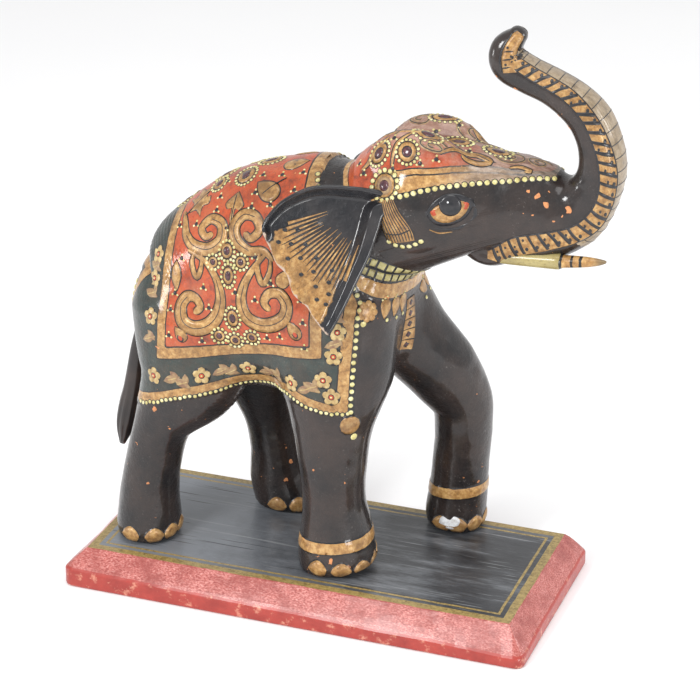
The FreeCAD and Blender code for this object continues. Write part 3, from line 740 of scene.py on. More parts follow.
def board_wood():
    """Red side and worn pink bevel, its paleness partly a painted sheen, gold border and inner line
    on a scuffed black top.
    """
    paint = Paint("board_wood", coat=0.45, coat_roughness=0.22)
    inset = paint.math("ADD", paint.attribute("inset"), paint.math(
        "MULTIPLY", paint.math("SUBTRACT", paint.noise(90, 4), 0.5), 1.1))
    rub = paint.noise(60, 6, 0.7)
    weave = paint.noise(1300, 3, 0.6, stretch=(0.5, 1, 1))
    red = paint.ramp(rub, (0.3, colour(0.25, 0.026, 0.020)), (0.7, colour(0.40, 0.050, 0.036)))
    # The bevel's pink: worn red paint, made paler in part as a painted sheen on the upward slope.
    pink = paint.ramp(weave, (0.34, colour(0.22, 0.036, 0.030)), (0.50, colour(0.43, 0.115, 0.098)),
                      (0.70, colour(0.58, 0.27, 0.24)))
    pink = paint.mix(paint.step(rub, 0.34, 0.56), colour(0.25, 0.044, 0.036), pink)
    scuff = paint.noise(40, 8, 0.75, stretch=(0.3, 1.6, 1))
    black = paint.ramp(scuff, (0.30, colour(0.013, 0.013, 0.015)),
                       (0.50, colour(0.045, 0.047, 0.052)), (0.70, colour(0.17, 0.18, 0.195)))
    spot = paint.add("ShaderNodeSeparateXYZ")
    paint.connect(paint.place, spot.inputs[0])
    drift = paint.math("MULTIPLY", paint.math("SUBTRACT", rub, 0.5), 0.12)
    dust = paint.step(paint.math("ADD", spot.outputs[0], drift), 0.03, -0.07)
    black = paint.mix(paint.math("MULTIPLY", dust, 0.60), black, colour(0.25, 0.27, 0.30))
    for scale, low in ((420, 0.66), (900, 0.68)):
        hair = paint.step(paint.noise(scale, 2, 0.5, stretch=(0.035, 1, 1)), low, low + 0.05)
        black = paint.mix(paint.math("MULTIPLY", hair, 0.7), black, colour(0.26, 0.27, 0.28))
    scratch_dark = paint.step(paint.noise(500, 2, 0.5, stretch=(0.04, 1, 1)), 0.34, 0.28)
    black = paint.mix(paint.math("MULTIPLY", scratch_dark, 0.8), black, colour(0.008, 0.008, 0.009))
    olive = paint.ramp(paint.noise(500, 4, 0.7), (0.32, colour(0.15, 0.10, 0.03)),
                       (0.62, colour(0.36, 0.26, 0.09)))
    tint = paint.mix(paint.math("GREATER_THAN", inset, 1.2), red, pink)
    worn = paint.math("MULTIPLY", paint.step(inset, 2.0, 0.6), paint.step(paint.noise(
        150, 5, 0.7), 0.56, 0.66))
    tint = paint.mix(paint.math("MULTIPLY", worn, 0.7), tint, colour(0.62, 0.28, 0.19))
    scratch = paint.step(paint.noise(330, 3, 0.6, stretch=(0.06, 1, 1)), 0.72, 0.76)
    tint = paint.mix(paint.math("MULTIPLY", scratch, 0.5), tint, colour(0.62, 0.36, 0.28))
    tint = paint.mix(paint.math("GREATER_THAN", inset, 12.2), tint, olive)
    tint = paint.mix(paint.math("GREATER_THAN", inset, 17.6), tint, black)
    line = paint.math("MULTIPLY", paint.math("GREATER_THAN", inset, 20.6),
                      paint.math("LESS_THAN", inset, 22.3))
    tint = paint.mix(line, tint, olive)
    height = paint.math("ADD", paint.math("MULTIPLY", weave, 0.6), scuff)
    rough = paint.blend(scuff, 0.28, 0.55)
    return paint.finish(tint, height, 0.0005, 0.5, roughness=rough)


# ============================================================ objects

def new_object(name, verts, faces, materials, smooth=True):
    """A mesh piece from millimetre vertices, riding on the one body."""
    mesh = bpy.data.meshes.new(name)
    mesh.from_pydata((np.asarray(verts, float) * MM).tolist(), [], [list(f) for f in faces])
    mesh.validate()
    if smooth:
        mesh.shade_smooth()
    obj = bpy.data.objects.new(name, mesh)
    bpy.context.scene.collection.objects.link(obj)
    for material in materials if isinstance(materials, list) else [materials]:
        mesh.materials.append(material)
    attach(obj, "root")
    return obj


def put_attributes(mesh, points):
    """Keep the distances to the painted zones on the mesh, for painted_wood."""
    off = joint_distance(points) < 0.5
    x, z = points[:, 0], points[:, 2]
    low = (z > 310) | (x > 141)
    cap = np.where(low, -9.0, cap_edge(points))
    red = np.minimum(z - along(CAP_RED, x), joint_distance(points) - 5)
    values = {
        "cloth": cloth_edge(points),
        "panel": panel_edge(points),
        "collar": collar_distance(points),
        "anklet": anklet_edge(points),
        "cap": cap,
        "brow": np.where(low | off, -9.0, red),
        "brow_line": np.where(low | (x < 44), -9.0, z - along(CAP_LINE, x)),
    }
    for name, value in values.items():
        layer = mesh.attributes.new(name, "FLOAT", "POINT")
        layer.data.foreach_set("value", value.astype(np.float32))


# ============================================================ the three carved blocks

TRUNK_JOINT_X = 118.0
TRUNK_TOP_Z = 318.0


def carve_blocks(material):
    """One carved skin, cut at the two glue joints into body, head and trunk."""
    cell = 1.3
    verts, faces = surface_net(carving, (-140, -62, BOARD_TOP - 2), (190, 84, 376), cell)
    skin = bmesh.new()
    made = [skin.verts.new(v) for v in verts]
    for face in faces:
        skin.faces.new([made[i] for i in face])
    everything = skin.verts[:] + skin.edges[:] + skin.faces[:]
    bmesh.ops.bisect_plane(skin, geom=everything, plane_co=JOINT_POINT, plane_no=JOINT_NORMAL,
                           dist=1e-4)
    low = [f for f in skin.faces if f.calc_center_median().z < TRUNK_TOP_Z
           and f.calc_center_median().x > 90]
    low_edges = {e for f in low for e in f.edges}
    low_verts = {v for f in low for v in f.verts}
    bmesh.ops.bisect_plane(skin, geom=low + list(low_edges) + list(low_verts), dist=1e-4,
                           plane_co=(TRUNK_JOINT_X, 0, 0), plane_no=(1, 0, 0))
    centres = np.array([f.calc_center_median() for f in skin.faces])
    on_trunk = np.maximum(centres[:, 0] - TRUNK_JOINT_X, centres[:, 2] - TRUNK_TOP_Z) > 0
    block = np.where(joint_distance(centres) < 0, 0, np.where(on_trunk, 2, 1))
    skin.verts.index_update()
    corners = [[v.index for v in f.verts] for f in skin.faces]
    places = np.array([v.co for v in skin.verts])
    skin.free()
    for number, name in enumerate(("body_block", "head_block", "trunk")):
        mine = [corners[i] for i in np.flatnonzero(block == number)]
        used, flat = np.unique(np.concatenate(mine), return_inverse=True)
        counts = np.cumsum([len(f) for f in mine])[:-1]
        part_faces = [list(map(int, f)) for f in np.split(flat, counts)]
        obj = new_object("carved_" + name, places[used], part_faces, material)
        close_cuts(obj.data)
        points = np.array([v.co for v in obj.data.vertices]) / MM
        put_attributes(obj.data, points)
        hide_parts(name)


def close_cuts(mesh):
    """Fill the open glue faces and keep their rims sharp."""
    block = bmesh.new()
    block.from_mesh(mesh)
    rim = [e for e in block.edges if e.is_boundary]
    for edge in rim:
        edge.smooth = False
    bmesh.ops.triangle_fill(block, edges=rim, use_beauty=True)
    bmesh.ops.recalc_face_normals(block, faces=block.faces[:])
    block.to_mesh(mesh)
    block.free()


# ============================================================ raised paint

marks = []


class Layer:
    """Raised paint of one material, gathered into one piece."""

    def __init__(self, name, material, slot):
        self.name, self.material, self.slot = name, material, slot
        self.verts, self.faces, self.count = [], [], 0

    def take(self, verts, faces):
        self.verts.append(verts)
        self.faces += [[i + self.count for i in f] for f in faces]
        self.count += len(verts)

    def build(self):
        if self.count:
            new_object(self.name, np.vstack(self.verts), self.faces, self.material)


def sides(points, both):
    """The points on the near side and, when both is set, their mirror on the far side."""
    points = np.atleast_2d(np.asarray(points, float))
    yield points, False
    if both:
        yield points * (1, -1, 1) + (0, 2 * YC, 0), True


def stroke(layer, points, width, lift=0.2, dome=0.1, both=True, closed=False, taper=True):
    """A brush line of raised paint along points; width is one number or one per point."""
    points = np.asarray(points, float)
    widths = np.broadcast_to(np.asarray(width, float), (len(points),))
    table = np.column_stack([points, widths])
    if closed:
        table = np.vstack([table, table[:1]])
    path = catmull_rom(table, 12)
    length = np.concatenate([[0], np.cumsum(np.linalg.norm(np.diff(path[:, :3], axis=0),
                                                           axis=1))])
    samples = np.linspace(0, length[-1], max(4, int(length[-1] / 1.1)))
    path = np.column_stack([np.interp(samples, length, path[:, i]) for i in range(4)])
    if taper:
        end = np.minimum(samples, samples[-1] - samples) / np.maximum(path[:, 3] * 0.5, 0.3)
        path[:, 3] *= np.sqrt(np.clip(end, 0.02, 1) * (2 - np.clip(end, 0.02, 1)))
    for line, flipped in sides(path[:, :3], both):
        marks.append({"layer": layer, "centres": line, "width": path[:, 3], "lift": lift,
                      "dome": dome, "flipped": flipped, "closed": closed})


def disc(layer, points, radius, lift=0.2, dome=0.3, stretch=1.0, turn=0.0, both=True,
         segments=12, offsets=((0, 0),)):
    """Round or oval dabs of raised paint at each offset from each of the points."""
    for places, flipped in sides(points, both):
        marks.append({"layer": layer, "centres": places, "radius": radius, "lift": lift,
                      "dome": dome, "stretch": stretch, "turn": turn, "flipped": flipped,
                      "segments": segments, "offsets": np.asarray(offsets, float)})


def patch(layer, place, outline, lift=0.2, dome=0.2, turn=0.0, size=1.0, both=True,
          heart=(0, 0)):
    """A filled shape: outline points in millimetres round place, x forward and y up."""
    outline = catmull_rom(np.vstack([outline, outline[:1]]), 5)[:-1, :2] * size
    c, s = math.cos(math.radians(turn)), math.sin(math.radians(turn))
    outline = outline @ np.array([[c, s], [-s, c]])
    middle = np.array(heart) @ np.array([[c, s], [-s, c]]) * size
    for places, flipped in sides(place, both):
        marks.append({"layer": layer, "centres": places, "outline": outline, "lift": lift,
                      "dome": dome, "flipped": flipped, "middle": middle,
                      "offsets": np.zeros((1, 2))})


RING_STEPS = ((1.0, -0.3), (1.0, 0.0), (0.72, 0.6), (0.36, 0.9))


def press_marks():
    """Lay every mark on the carving at once and build the layers."""
    spread = np.vstack([m["centres"] for m in marks])
    for _ in range(4):
        spread = to_surface(carving, spread)
    normals, _ = slope(carving, spread)
    start, pending = 0, []
    for mark in marks:
        stop = start + len(mark["centres"])
        places, normal = spread[start:stop], normals[start:stop]
        start = stop
        if "width" in mark:
            pending.append(ribbon(mark, places, normal))
        else:
            pending.append(dabs(mark, places, normal))
    verts = np.vstack([p[0] for p in pending])
    lifts = np.concatenate([p[1] for p in pending])
    for _ in range(2):
        verts = to_surface(carving, verts, lifts)
    start = 0
    for mark, (own, _, faces) in zip(marks, pending):
        mark["layer"].take(verts[start:start + len(own)], faces)
        start += len(own)


def ribbon(mark, places, normal):
    tangent = np.gradient(places, axis=0)
    side = np.cross(normal, tangent)
    side /= np.linalg.norm(side, axis=1)[:, None] + 1e-9
    columns = np.array([-1, -1, -0.5, 0, 0.5, 1, 1])
    rise = np.array([-0.3, 0, 0.75, 1, 0.75, 0, -0.3])
    verts = places[:, None] + side[:, None] * (columns[None, :, None]
                                               * mark["width"][:, None, None] / 2)
    lifts = np.broadcast_to(np.where(rise < 0, rise, mark["lift"] + mark["dome"] * rise),
                            (len(places), 7))
    n = len(places)
    faces = [(i * 7 + j, i * 7 + j + 1, i * 7 + j + 8, i * 7 + j + 7)[::-1]
             for i in range(n - 1) for j in range(6)]
    return verts.reshape(-1, 3), lifts.reshape(-1), faces


def dabs(mark, places, normal):
    """Rings of points round each place: a circle, an oval or an outline."""
    forward = np.array([1.0, 0, 0]) - normal[:, :1] * normal
    forward /= np.linalg.norm(forward, axis=1)[:, None] + 1e-9
    upward = np.cross(normal, forward) * (-1 if mark["flipped"] else 1)
    if "outline" in mark:
        ring, middle = mark["outline"], mark["middle"]
    else:
        turn = np.linspace(0, 2 * math.pi, mark["segments"], endpoint=False)
        oval = np.column_stack([np.cos(turn), np.sin(turn) * mark["stretch"]]) * mark["radius"]
        c, s = math.cos(math.radians(mark["turn"])), math.sin(math.radians(mark["turn"]))
        ring, middle = oval @ np.array([[c, s], [-s, c]]), np.zeros(2)
    size = len(ring)
    rings = [middle + (ring - middle) * share for share, _ in RING_STEPS] + [middle[None]]
    flat = np.vstack(rings)
    rises = [np.full(size, -0.3)] + [np.full(size, mark["lift"] + mark["dome"] * r)
                                     for _, r in RING_STEPS[1:]] \
        + [[mark["lift"] + mark["dome"]]]
    count = len(places) * len(mark["offsets"])
    lifts = np.tile(np.concatenate(rises), count)
    flat = (mark["offsets"][:, None] + flat[None]).reshape(-1, 2)
    verts = places[:, None] + forward[:, None] * flat[None, :, :1] \
        + upward[:, None] * flat[None, :, 1:]
    one = []
    for r in range(len(RING_STEPS) - 1):
        for i in range(size):
            k = (i + 1) % size
            one.append((r * size + i, r * size + k, (r + 1) * size + k, (r + 1) * size + i))
    last, tip = (len(RING_STEPS) - 1) * size, len(RING_STEPS) * size
    one += [(last + i, last + (i + 1) % size, tip) for i in range(size)]
    if mark["flipped"]:
        one = [f[::-1] for f in one]
    faces = [tuple(i + k * (tip + 1) for i in f) for k in range(count) for f in one]
    return verts.reshape(-1, 3), lifts, faces


# ============================================================ places on the animal

DRAPE_Z = 195.0
drape_x = np.arange(-124, 49, 4.0)
drape_turn = np.arange(-72, 93, 4.0)


def drape_rays(x, turn):
    angle = np.radians(turn)
    return np.column_stack([np.zeros_like(x), -np.cos(angle), np.sin(angle)])


def drape_map():
    """How far the surface lies from the torso's long axis, for every x and turn."""
    x, turn = [g.ravel() for g in np.meshgrid(drape_x, drape_turn, indexing="ij")]
    ray = drape_rays(x, turn)
    reach = np.full(len(x), 96.0)
    for _ in range(22):
        at = np.column_stack([x, np.full_like(x, YC), np.full_like(x, DRAPE_Z)])
        reach = np.clip(reach - carving(at + ray * reach[:, None]) * 0.85, 2, 96)
    return reach.reshape(len(drape_x), len(drape_turn))


reach_map = drape_map()


def drape(*pairs):
    """Surface places from (x, degrees above the axis on the near side) pairs."""
    pairs = np.asarray(pairs, float)
    i = np.clip((pairs[:, 0] - drape_x[0]) / 4, 0, len(drape_x) - 1.001)
    j = np.clip((pairs[:, 1] - drape_turn[0]) / 4, 0, len(drape_turn) - 1.001)
    a, b = i.astype(int), j.astype(int)
    f, g = i - a, j - b
    reach = (reach_map[a, b] * (1 - f) * (1 - g) + reach_map[a + 1, b] * f * (1 - g)
             + reach_map[a, b + 1] * (1 - f) * g + reach_map[a + 1, b + 1] * f * g)
    base = np.column_stack([pairs[:, 0], np.full(len(pairs), YC), np.full(len(pairs), DRAPE_Z)])
    return base + drape_rays(pairs[:, 0], pairs[:, 1]) * reach[:, None]


def shoot(origins, directions, reach=110.0):
    """First places where rays from inside the animal leave it."""
    steps = np.arange(2, reach, 1.5)
    origins, directions = np.broadcast_arrays(np.atleast_2d(origins), np.atleast_2d(directions))
    tries = origins[:, None] + directions[:, None] * steps[None, :, None]
    values = carving(tries.reshape(-1, 3)).reshape(len(origins), -1)
    first = np.argmax(values > 0, axis=1)
    rows = np.arange(len(origins))
    share = values[rows, first - 1] / (values[rows, first - 1] - values[rows, first] + 1e-9)
    return origins + directions * (steps[first - 1] + 1.5 * share)[:, None]


def spaced(points, pitch):
    """Places pitch apart along a line of points."""
    points = np.asarray(points, float)
    length = np.concatenate([[0], np.cumsum(np.linalg.norm(np.diff(points, axis=0), axis=1))])
    count = max(2, round(length[-1] / pitch) + 1)
    at = np.linspace(0, length[-1], count)
    return np.column_stack([np.interp(at, length, points[:, i]) for i in range(3)])


def around(radius, count, stretch=1.0, turn=0.0):
    """Offsets evenly round an oval, in millimetres."""
    angle = np.linspace(0, 2 * math.pi, count, endpoint=False) + math.radians(turn)
    return np.column_stack([np.cos(angle), np.sin(angle) * stretch]) * radius


# ============================================================ motifs

def outlined(points, width, edge=0.75, core=True, **settings):
    """A gold scroll with a dark outline and a thin dark line along its middle."""
    width = np.asarray(width, float)
    stroke(lines, points, width + 2 * edge, lift=0.10, dome=0.0, **settings)
    stroke(gold, points, width, lift=0.18, dome=0.16, **settings)
    if core:
        stroke(lines, points[2:-3], 0.5, lift=0.38, dome=0.05, **settings)


def outlined_patch(place, outline, edge=0.7, layer=None, **settings):
    outline = np.asarray(outline, float)
    middle = outline.mean(0)
    arms = outline - middle
    wider = middle + arms * (1 + edge / np.linalg.norm(arms, axis=1)[:, None])
    patch(lines, place, wider, lift=0.10, dome=0.0, heart=middle, **settings)
    patch(layer or gold, place, outline, lift=0.22, dome=0.30, heart=middle, **settings)


def jewel(place, radius, stretch=1.0, turn=0.0, beaded=True, pitch=2.55, bead_radius=1.0,
          both=True):
    """A gold boss with a dark stone in it and a ring of beads round it."""
    shape = {"stretch": stretch, "turn": turn, "both": both}
    disc(lines, place, radius + 0.6, lift=0.10, dome=0.0, **shape)
    disc(gold, place, radius, lift=0.22, dome=0.25, **shape)
    disc(lines, place, radius * 0.60, lift=0.42, dome=0.05, **shape)
    disc(stones, place, radius * 0.48, lift=0.50, dome=0.35, **shape)
    if beaded:
        ring = radius + bead_radius + 0.5
        count = int(2 * math.pi * ring * (1 + stretch) / 2 / pitch)
        c, s = math.cos(math.radians(turn)), math.sin(math.radians(turn))
        offsets = around(ring, count, stretch) @ np.array([[c, s], [-s, c]])
        disc(lines, place, bead_radius + 0.35, lift=0.08, dome=0.0, offsets=offsets,
             segments=8, both=both)
        disc(beads, place, bead_radius, lift=0.16, dome=0.38, offsets=offsets, segments=8,
             both=both)


def trefoil(places):
    """A dark dot with three pale dots round it."""
    disc(lines, places, 1.35, lift=0.14, dome=0.2, segments=8)
    disc(beads, places, 0.75, lift=0.14, dome=0.2, segments=6, offsets=around(2.05, 3, turn=90))


def flower(places, size=1.0):
    disc(lines, places, 5.0 * size, lift=0.06, dome=0.0, segments=12)
    disc(petals, places, 2.05 * size, lift=0.14, dome=0.25, segments=8,
         offsets=around(2.9 * size, 5, turn=90))
    disc(lines, places, 1.75 * size, lift=0.36, dome=0.05, segments=8)
    disc(reds, places, 1.35 * size, lift=0.44, dome=0.2, segments=8)
    disc(beads, places, 0.6 * size, lift=0.66, dome=0.15, segments=6)


def bead_row(points, pitch=4.5, radius=1.65, both=True):
    at = spaced(points, pitch)
    disc(lines, at, radius + 0.5, lift=0.06, dome=0.0, both=both, segments=10)
    disc(beads, at, radius, lift=0.14, dome=0.55, both=both, segments=10)


# ============================================================ the painted cloth

def cloth_line(level, xs=None, turns=None):
    """Where the cloth is level millimetres in from its edge, along the hem or the front."""
    found = []
    if xs is not None:
        turns = np.arange(-70, 30, 0.5)
        for x in xs:
            line = drape(*[(x, t) for t in turns])
            first = np.argmax(cloth_edge(line) > level)
            found.append(line[first])
    else:
        xs = np.arange(44, -40, -0.4)
        for turn in turns:
            line = drape(*[(x, turn) for x in xs])
            first = np.argmax(cloth_edge(line) > level)
            found.append(line[first])
    return np.array(found)


SPADE = [(0, 10), (3.5, 6), (7, 1), (4.5, -2.5), (1.3, -1.5), (1.1, -9), (0, -12), (-1.1, -9),
         (-1.3, -1.5), (-4.5, -2.5), (-7, 1), (-3.5, 6)]
DROP = [(0, 8), (3.2, 4), (5.0, -1), (3.6, -5.2), (0, -6.6), (-3.6, -5.2), (-5.0, -1), (-3.2, 4)]
LEAF = [(0, 6), (1.8, 3), (2.3, 0), (1.5, -3), (0, -6), (-1.5, -3), (-2.3, 0), (-1.8, 3)]
LOBES = [(-2, -12), (1.5, -6), (6, -7), (8, -2), (5, 0), (9, 6), (4, 7), (1, 12), (-2.5, 6),
         (-7, 7), (-5, 1), (-9, -3), (-4, -5)]


SCROLL_WIDTHS = (2.0, 3.2, 4.6, 6.2, 7.8, 8.8, 8.8, 8.0, 7.2, 6.4, 5.4, 4.6, 3.8)
BUD_WIDTHS = (1.6, 3.0, 3.4, 2.6, 1.2)


def panel_scrolls():
    """Two large and two small scrolls with buds, then the leaves and drops between them."""
    outlined(drape((-77, 35), (-64, 28), (-55, 16), (-52, 3), (-54, -10), (-60, -19), (-69, -22),
                   (-77, -19), (-79, -10), (-75, -2), (-69, -2), (-66, -8), (-70, -13)),
             SCROLL_WIDTHS)
    outlined(drape((-23, 37), (-30, 28), (-36, 16), (-38, 4), (-35, -7), (-27, -12), (-18, -10),
                   (-10, -3), (-8, 6), (-13, 13), (-20, 12), (-23, 5), (-19, 0)),
             SCROLL_WIDTHS)
    outlined(drape((-86, 66), (-83, 56), (-80, 46), (-73, 38), (-62, 36), (-54, 42), (-55, 51),
                   (-63, 55), (-69, 50), (-65, 44), (-60, 46)),
             (2.0, 4.0, 5.8, 7.0, 7.8, 7.4, 6.6, 5.8, 5.0, 4.2, 3.4))
    outlined(drape((-18, 33), (-25, 38), (-34, 37), (-43, 42), (-46, 50), (-41, 56), (-33, 55),
                   (-29, 49), (-34, 44), (-39, 47)),
             (2.0, 4.2, 5.8, 7.2, 7.4, 6.8, 6.0, 5.2, 4.4, 3.4))
    for bud in (((-71, 37), (-73, 26), (-69, 15), (-66, 24), (-67, 36)),
                ((-27, 37), (-28, 27), (-24, 18), (-20, 26), (-20, 35))):
        outlined(drape(*bud), BUD_WIDTHS, core=False)
    for place, outline, size, turn, vein in (
            ((-49, 61), SPADE, 0.92, -4, ((-49, 67), (-49, 60), (-49, 53))),
            ((-29, 68), DROP, 1.25, 58, ((-19, 74), (-25, 71), (-32, 66))),
            ((-76, 70), LOBES, 1.0, 24, ((-84, 62), (-77, 69), (-71, 75)))):
        outlined_patch(drape(place), outline, size=size, turn=turn)
        stroke(lines, drape(*vein), 0.7, lift=0.5)
    for place, outline, size, turn in (((-84, 13), LEAF, 1.5, 6), ((-11, 23), DROP, 0.85, -28),
                                       ((-18, 83), DROP, 1.05, -70), ((-78, -27), DROP, 0.72, 40),
                                       ((-3, -10), DROP, 0.85, 38)):
        outlined_patch(drape(place), outline, size=size, turn=turn)
    for place in ((-78, -29), (-2, -12)):
        disc(lines, drape(place), 2.0, lift=0.45, dome=0.05, stretch=1.3, turn=40)
        disc(reds, drape(place), 1.3, lift=0.55, dome=0.2, stretch=1.3, turn=40)
    disc(lines, drape((-18, 83)), 2.0, lift=0.45, dome=0.05, stretch=1.4)


def panel_jewels():
    """The beaded jewels of the panel, and the three-dot flowers that fill its ground."""
    jewel(drape((-48, 79)), 5.4, stretch=1.25)
    for x in (-37, -66, -92):
        jewel(drape((x, 90)), 5.0, stretch=1.3, turn=90, both=False)
    for x, turn, radius, stretch in ((-66, 79, 4.2, 1.2), (-49, 36, 3.7, 1.2), (-58, 28, 3.2, 1.0),
                                     (-39, 30, 3.4, 1.0), (-47, 20, 3.4, 1.5),
                                     (-44, -11, 3.6, 1.45), (-53, -25, 3.3, 1.0),
                                     (-43, -27, 3.3, 1.0), (-32, -23, 3.3, 1.0)):
        jewel(drape((x, turn)), radius, stretch=stretch)
    trefoil(drape((-37, 67), (-60, 78), (-61, 68), (-61, 60), (-37, 60), (-74, 53), (-87, 55),
                  (-36, 77), (-23, 76), (-10, 77), (-64, 8), (-84, -2), (-86, -14), (-60, -7),
                  (-42, 9), (-29, 6), (-19, 19), (1, 11), (3, -3), (-13, -17), (-64, -29),
                  (-86, -29), (4, -19), (-30, 34), (-81, 28), (-12, 68), (-22, -21), (-44, 44),
                  (-1, 25), (-9, 40), (-10, 52), (0, 60), (-52, 49), (-25, 61)))


def border_flowers():
    """Five-petalled flowers along the dark border, with a leaf on each side of most."""
    spots = drape((-97, -49), (-65, -46), (-38, -48), (-6, -41), (16, -34), (21, -41), (24, -7),
                  (-101, 4), (-100, -23), (21, 14), (16, 33), (-100, 30), (22, -22))
    flower(spots, size=1.15)
    leaves = drape((-84, -47), (-77, -48), (-54, -47), (-49, -49), (-26, -48), (-18, -45), (4, -40),
                   (9, -38), (-101, -36), (-102, -10), (22, -15), (23, 3), (19, 24), (-101, 17))
    for number, place in enumerate(leaves):
        turn = 65 if number % 2 else 112
        patch(foliage, place[None], np.array(LEAF) * (1.15, 1.0), lift=0.12, dome=0.15, turn=turn)
        patch(foliage, place[None] + (2.2, 0, 2.4), np.array(LEAF) * (0.9, 0.7), lift=0.12,
              dome=0.15, turn=turn - 60)
        stroke(petals, [place + (-3.6, 0, -1.2), place, place + (3.6, 0, 1.6)], 0.5, lift=0.3,
               dome=0.1)


def cloth_paint():
    """The panel, the border, the bead rows along its edges and the pendant at the corner."""
    panel_scrolls()
    panel_jewels()
    border_flowers()
    hem = cloth_line(1.7, xs=np.arange(-108, 31, 3.0))
    front = cloth_line(1.7, turns=np.arange(-49, 79, 2.0))
    bead_row(hem, pitch=3.3, radius=1.2)
    bead_row(front, pitch=4.6, radius=1.5)
    disc(lines, [(31.5, -43, 127.5)], 7.2, lift=0.08, dome=0.0)
    disc(gold, [(31.5, -43, 127.5)], 6.4, lift=0.2, dome=0.7)
    disc(beads, [(34.5, -41, 118.5)], 2.2, lift=0.15, dome=0.5)
    rear = [(YC - 17.8, z) for z in np.arange(118, 190, 3.0)]
    back = shoot([(-60, y, z) for y, z in rear], (-1, 0, 0))
    bead_row(back)


# ============================================================ head, collar, trunk and feet

BROW_BEADS = [(56, -30, 272), (68, -28, 276), (81, -23, 278.5), (94, -18, 280), (111, -12, 282),
              (127, -7, 284), (140, -1, 284)]


def cap_paint():
    """Brow beads, jewels, and the outlined sprigs on the near side of the cap."""
    bead_row(BROW_BEADS, pitch=4.3, radius=1.6)
    temple = [(44, -28, 277)]
    jewel(temple, 7.0, pitch=3.6, bead_radius=1.5)
    disc(foliage, temple, 5.6, lift=0.4, dome=0.1)
    disc(stones, temple, 3.2, lift=0.6, dome=0.5)
    for place, radius, stretch, turn, both in (
            ((38, -19, 293), 4.6, 1.45, -35, True), ((57, -21, 297), 5.4, 1.1, 20, True),
            ((66, -9, 303), 4.4, 1.7, 75, True), ((52, YC, 296), 4.6, 1.2, 0, False),
            ((80, YC, 302), 5.0, 1.4, 90, False), ((104, YC, 294), 4.6, 1.5, 90, False)):
        jewel([place], radius, stretch=stretch, turn=turn, both=both)
    outlined([(74, -14, 294), (84, -9, 297), (95, -5, 297), (103, -6, 293), (98, -9, 291),
              (90, -10, 293), (86, -9, 294)], (1.2, 2.6, 3.4, 3.4, 3.0, 2.4, 1.2))
    outlined([(114, -6, 289), (121, -4, 290), (127, -4, 288), (123, -5, 287)],
             (1.0, 2.0, 2.2, 1.2), core=False)
    outlined([(28, -16, 280), (31, -19, 288), (37, -16, 297), (44, -12, 301)],
             (1.4, 2.6, 2.6, 1.2), core=False)
    outlined([(48, -24, 287), (50, -17, 299), (58, -10, 305)], (1.2, 2.0, 1.0), core=False)


def cap_curls():
    """The dark line over the near dome, partly a painted line and partly painted shade in the
    groove between the domes; free curls on both domes, and small dots between them.
    """
    # Dark line in the groove behind the near dome: part painted line, part painted shade.
    stroke(lines, [(24, -12, 292), (33, -9, 298), (45, -6, 303), (58, -5, 305.5), (72, -5, 304),
                   (84, -5, 298), (94, -4, 292), (106, -4, 290)],
           (0.6, 1.0, 1.3, 1.4, 1.4, 1.3, 1.0, 0.7), lift=0.12,
           dome=0.05, both=False)
    stroke(gold, [(38, -10, 301), (48, -9, 304), (60, -9, 305.5), (72, -9, 304), (84, -9, 298)],
           (0.8, 1.8, 2.4, 1.8, 0.8), lift=0.12, dome=0.1, both=False)
    for middle, reach, first in (((72, -17, 301), 8, 40), ((88, 20, 297), 11, 160),
                                 ((52, 21, 301), 8, 60), ((112, 4, 290), 8, 200),
                                 ((44, -6, 300), 6, 300), ((128, 6, 287), 6, 20)):
        turns = np.radians(first + np.linspace(0, 620, 22))
        arm = np.linspace(1.0, 0.16, 22) * reach
        curl = np.column_stack([middle[0] + arm * 1.25 * np.cos(turns),
                                middle[1] + arm * 0.8 * np.sin(turns),
                                np.full(22, middle[2]) - 0.3 * arm * np.cos(turns)])
        stroke(foliage, curl, 2.2, lift=0.12, dome=0.1, both=False)
        stroke(lines, curl, 0.6, lift=0.28, dome=0.05, both=False)
    trefoil([(48, -26, 287), (66, -25, 292), (75, -20, 294), (30, -18, 279), (47, -14, 302),
             (76, -5, 302), (90, -2, 300), (112, 1, 293), (26, -10, 281), (36, -8, 293),
             (64, 2, 299), (46, 3, 297)])


def temple_tassel():
    """A gold tassel of threads below the temple jewel, with a row of beads under it."""
    tassel = [(46, -29, 268), (50, -29, 259), (55, -28.5, 250), (57, -28, 243)]
    stroke(lines, tassel, (12.4, 15.4, 18.4, 18.0), lift=0.08, dome=0.0, taper=False)
    stroke(gold, tassel, (11.2, 14.2, 17.2, 16.8), lift=0.2, dome=0.3, taper=False)
    path = np.array(tassel)
    for share in np.linspace(-0.42, 0.42, 9):
        shift = np.array([1.0, 0, 0.42]) * share
        thread = [place + shift * width for place, width in zip(path, (11, 14, 17, 16.6))]
        stroke(lines, thread, 0.6, lift=0.5, dome=0.05)
    stroke(lines, [path[2] + (-7.6, 0, -2.6), path[2] + (0, 0, -1.6), path[2] + (7.6, 0, 2.4)],
           0.8, lift=0.55, dome=0.05)
    bead_row([(49, -27, 242), (54, -27, 239.5), (60, -27, 239.5), (66, -28, 242), (69, -28, 244)],
             pitch=4.0, radius=1.6)


EYE_WHITE = [(-11.5, 0.2), (-7, 3.0), (0, 4.5), (7, 4.6), (11.8, 3.2), (9.8, -1.8), (5.0, -6.0),
             (-1.5, -8.0), (-7, -6.8), (-10.3, -3.6)]


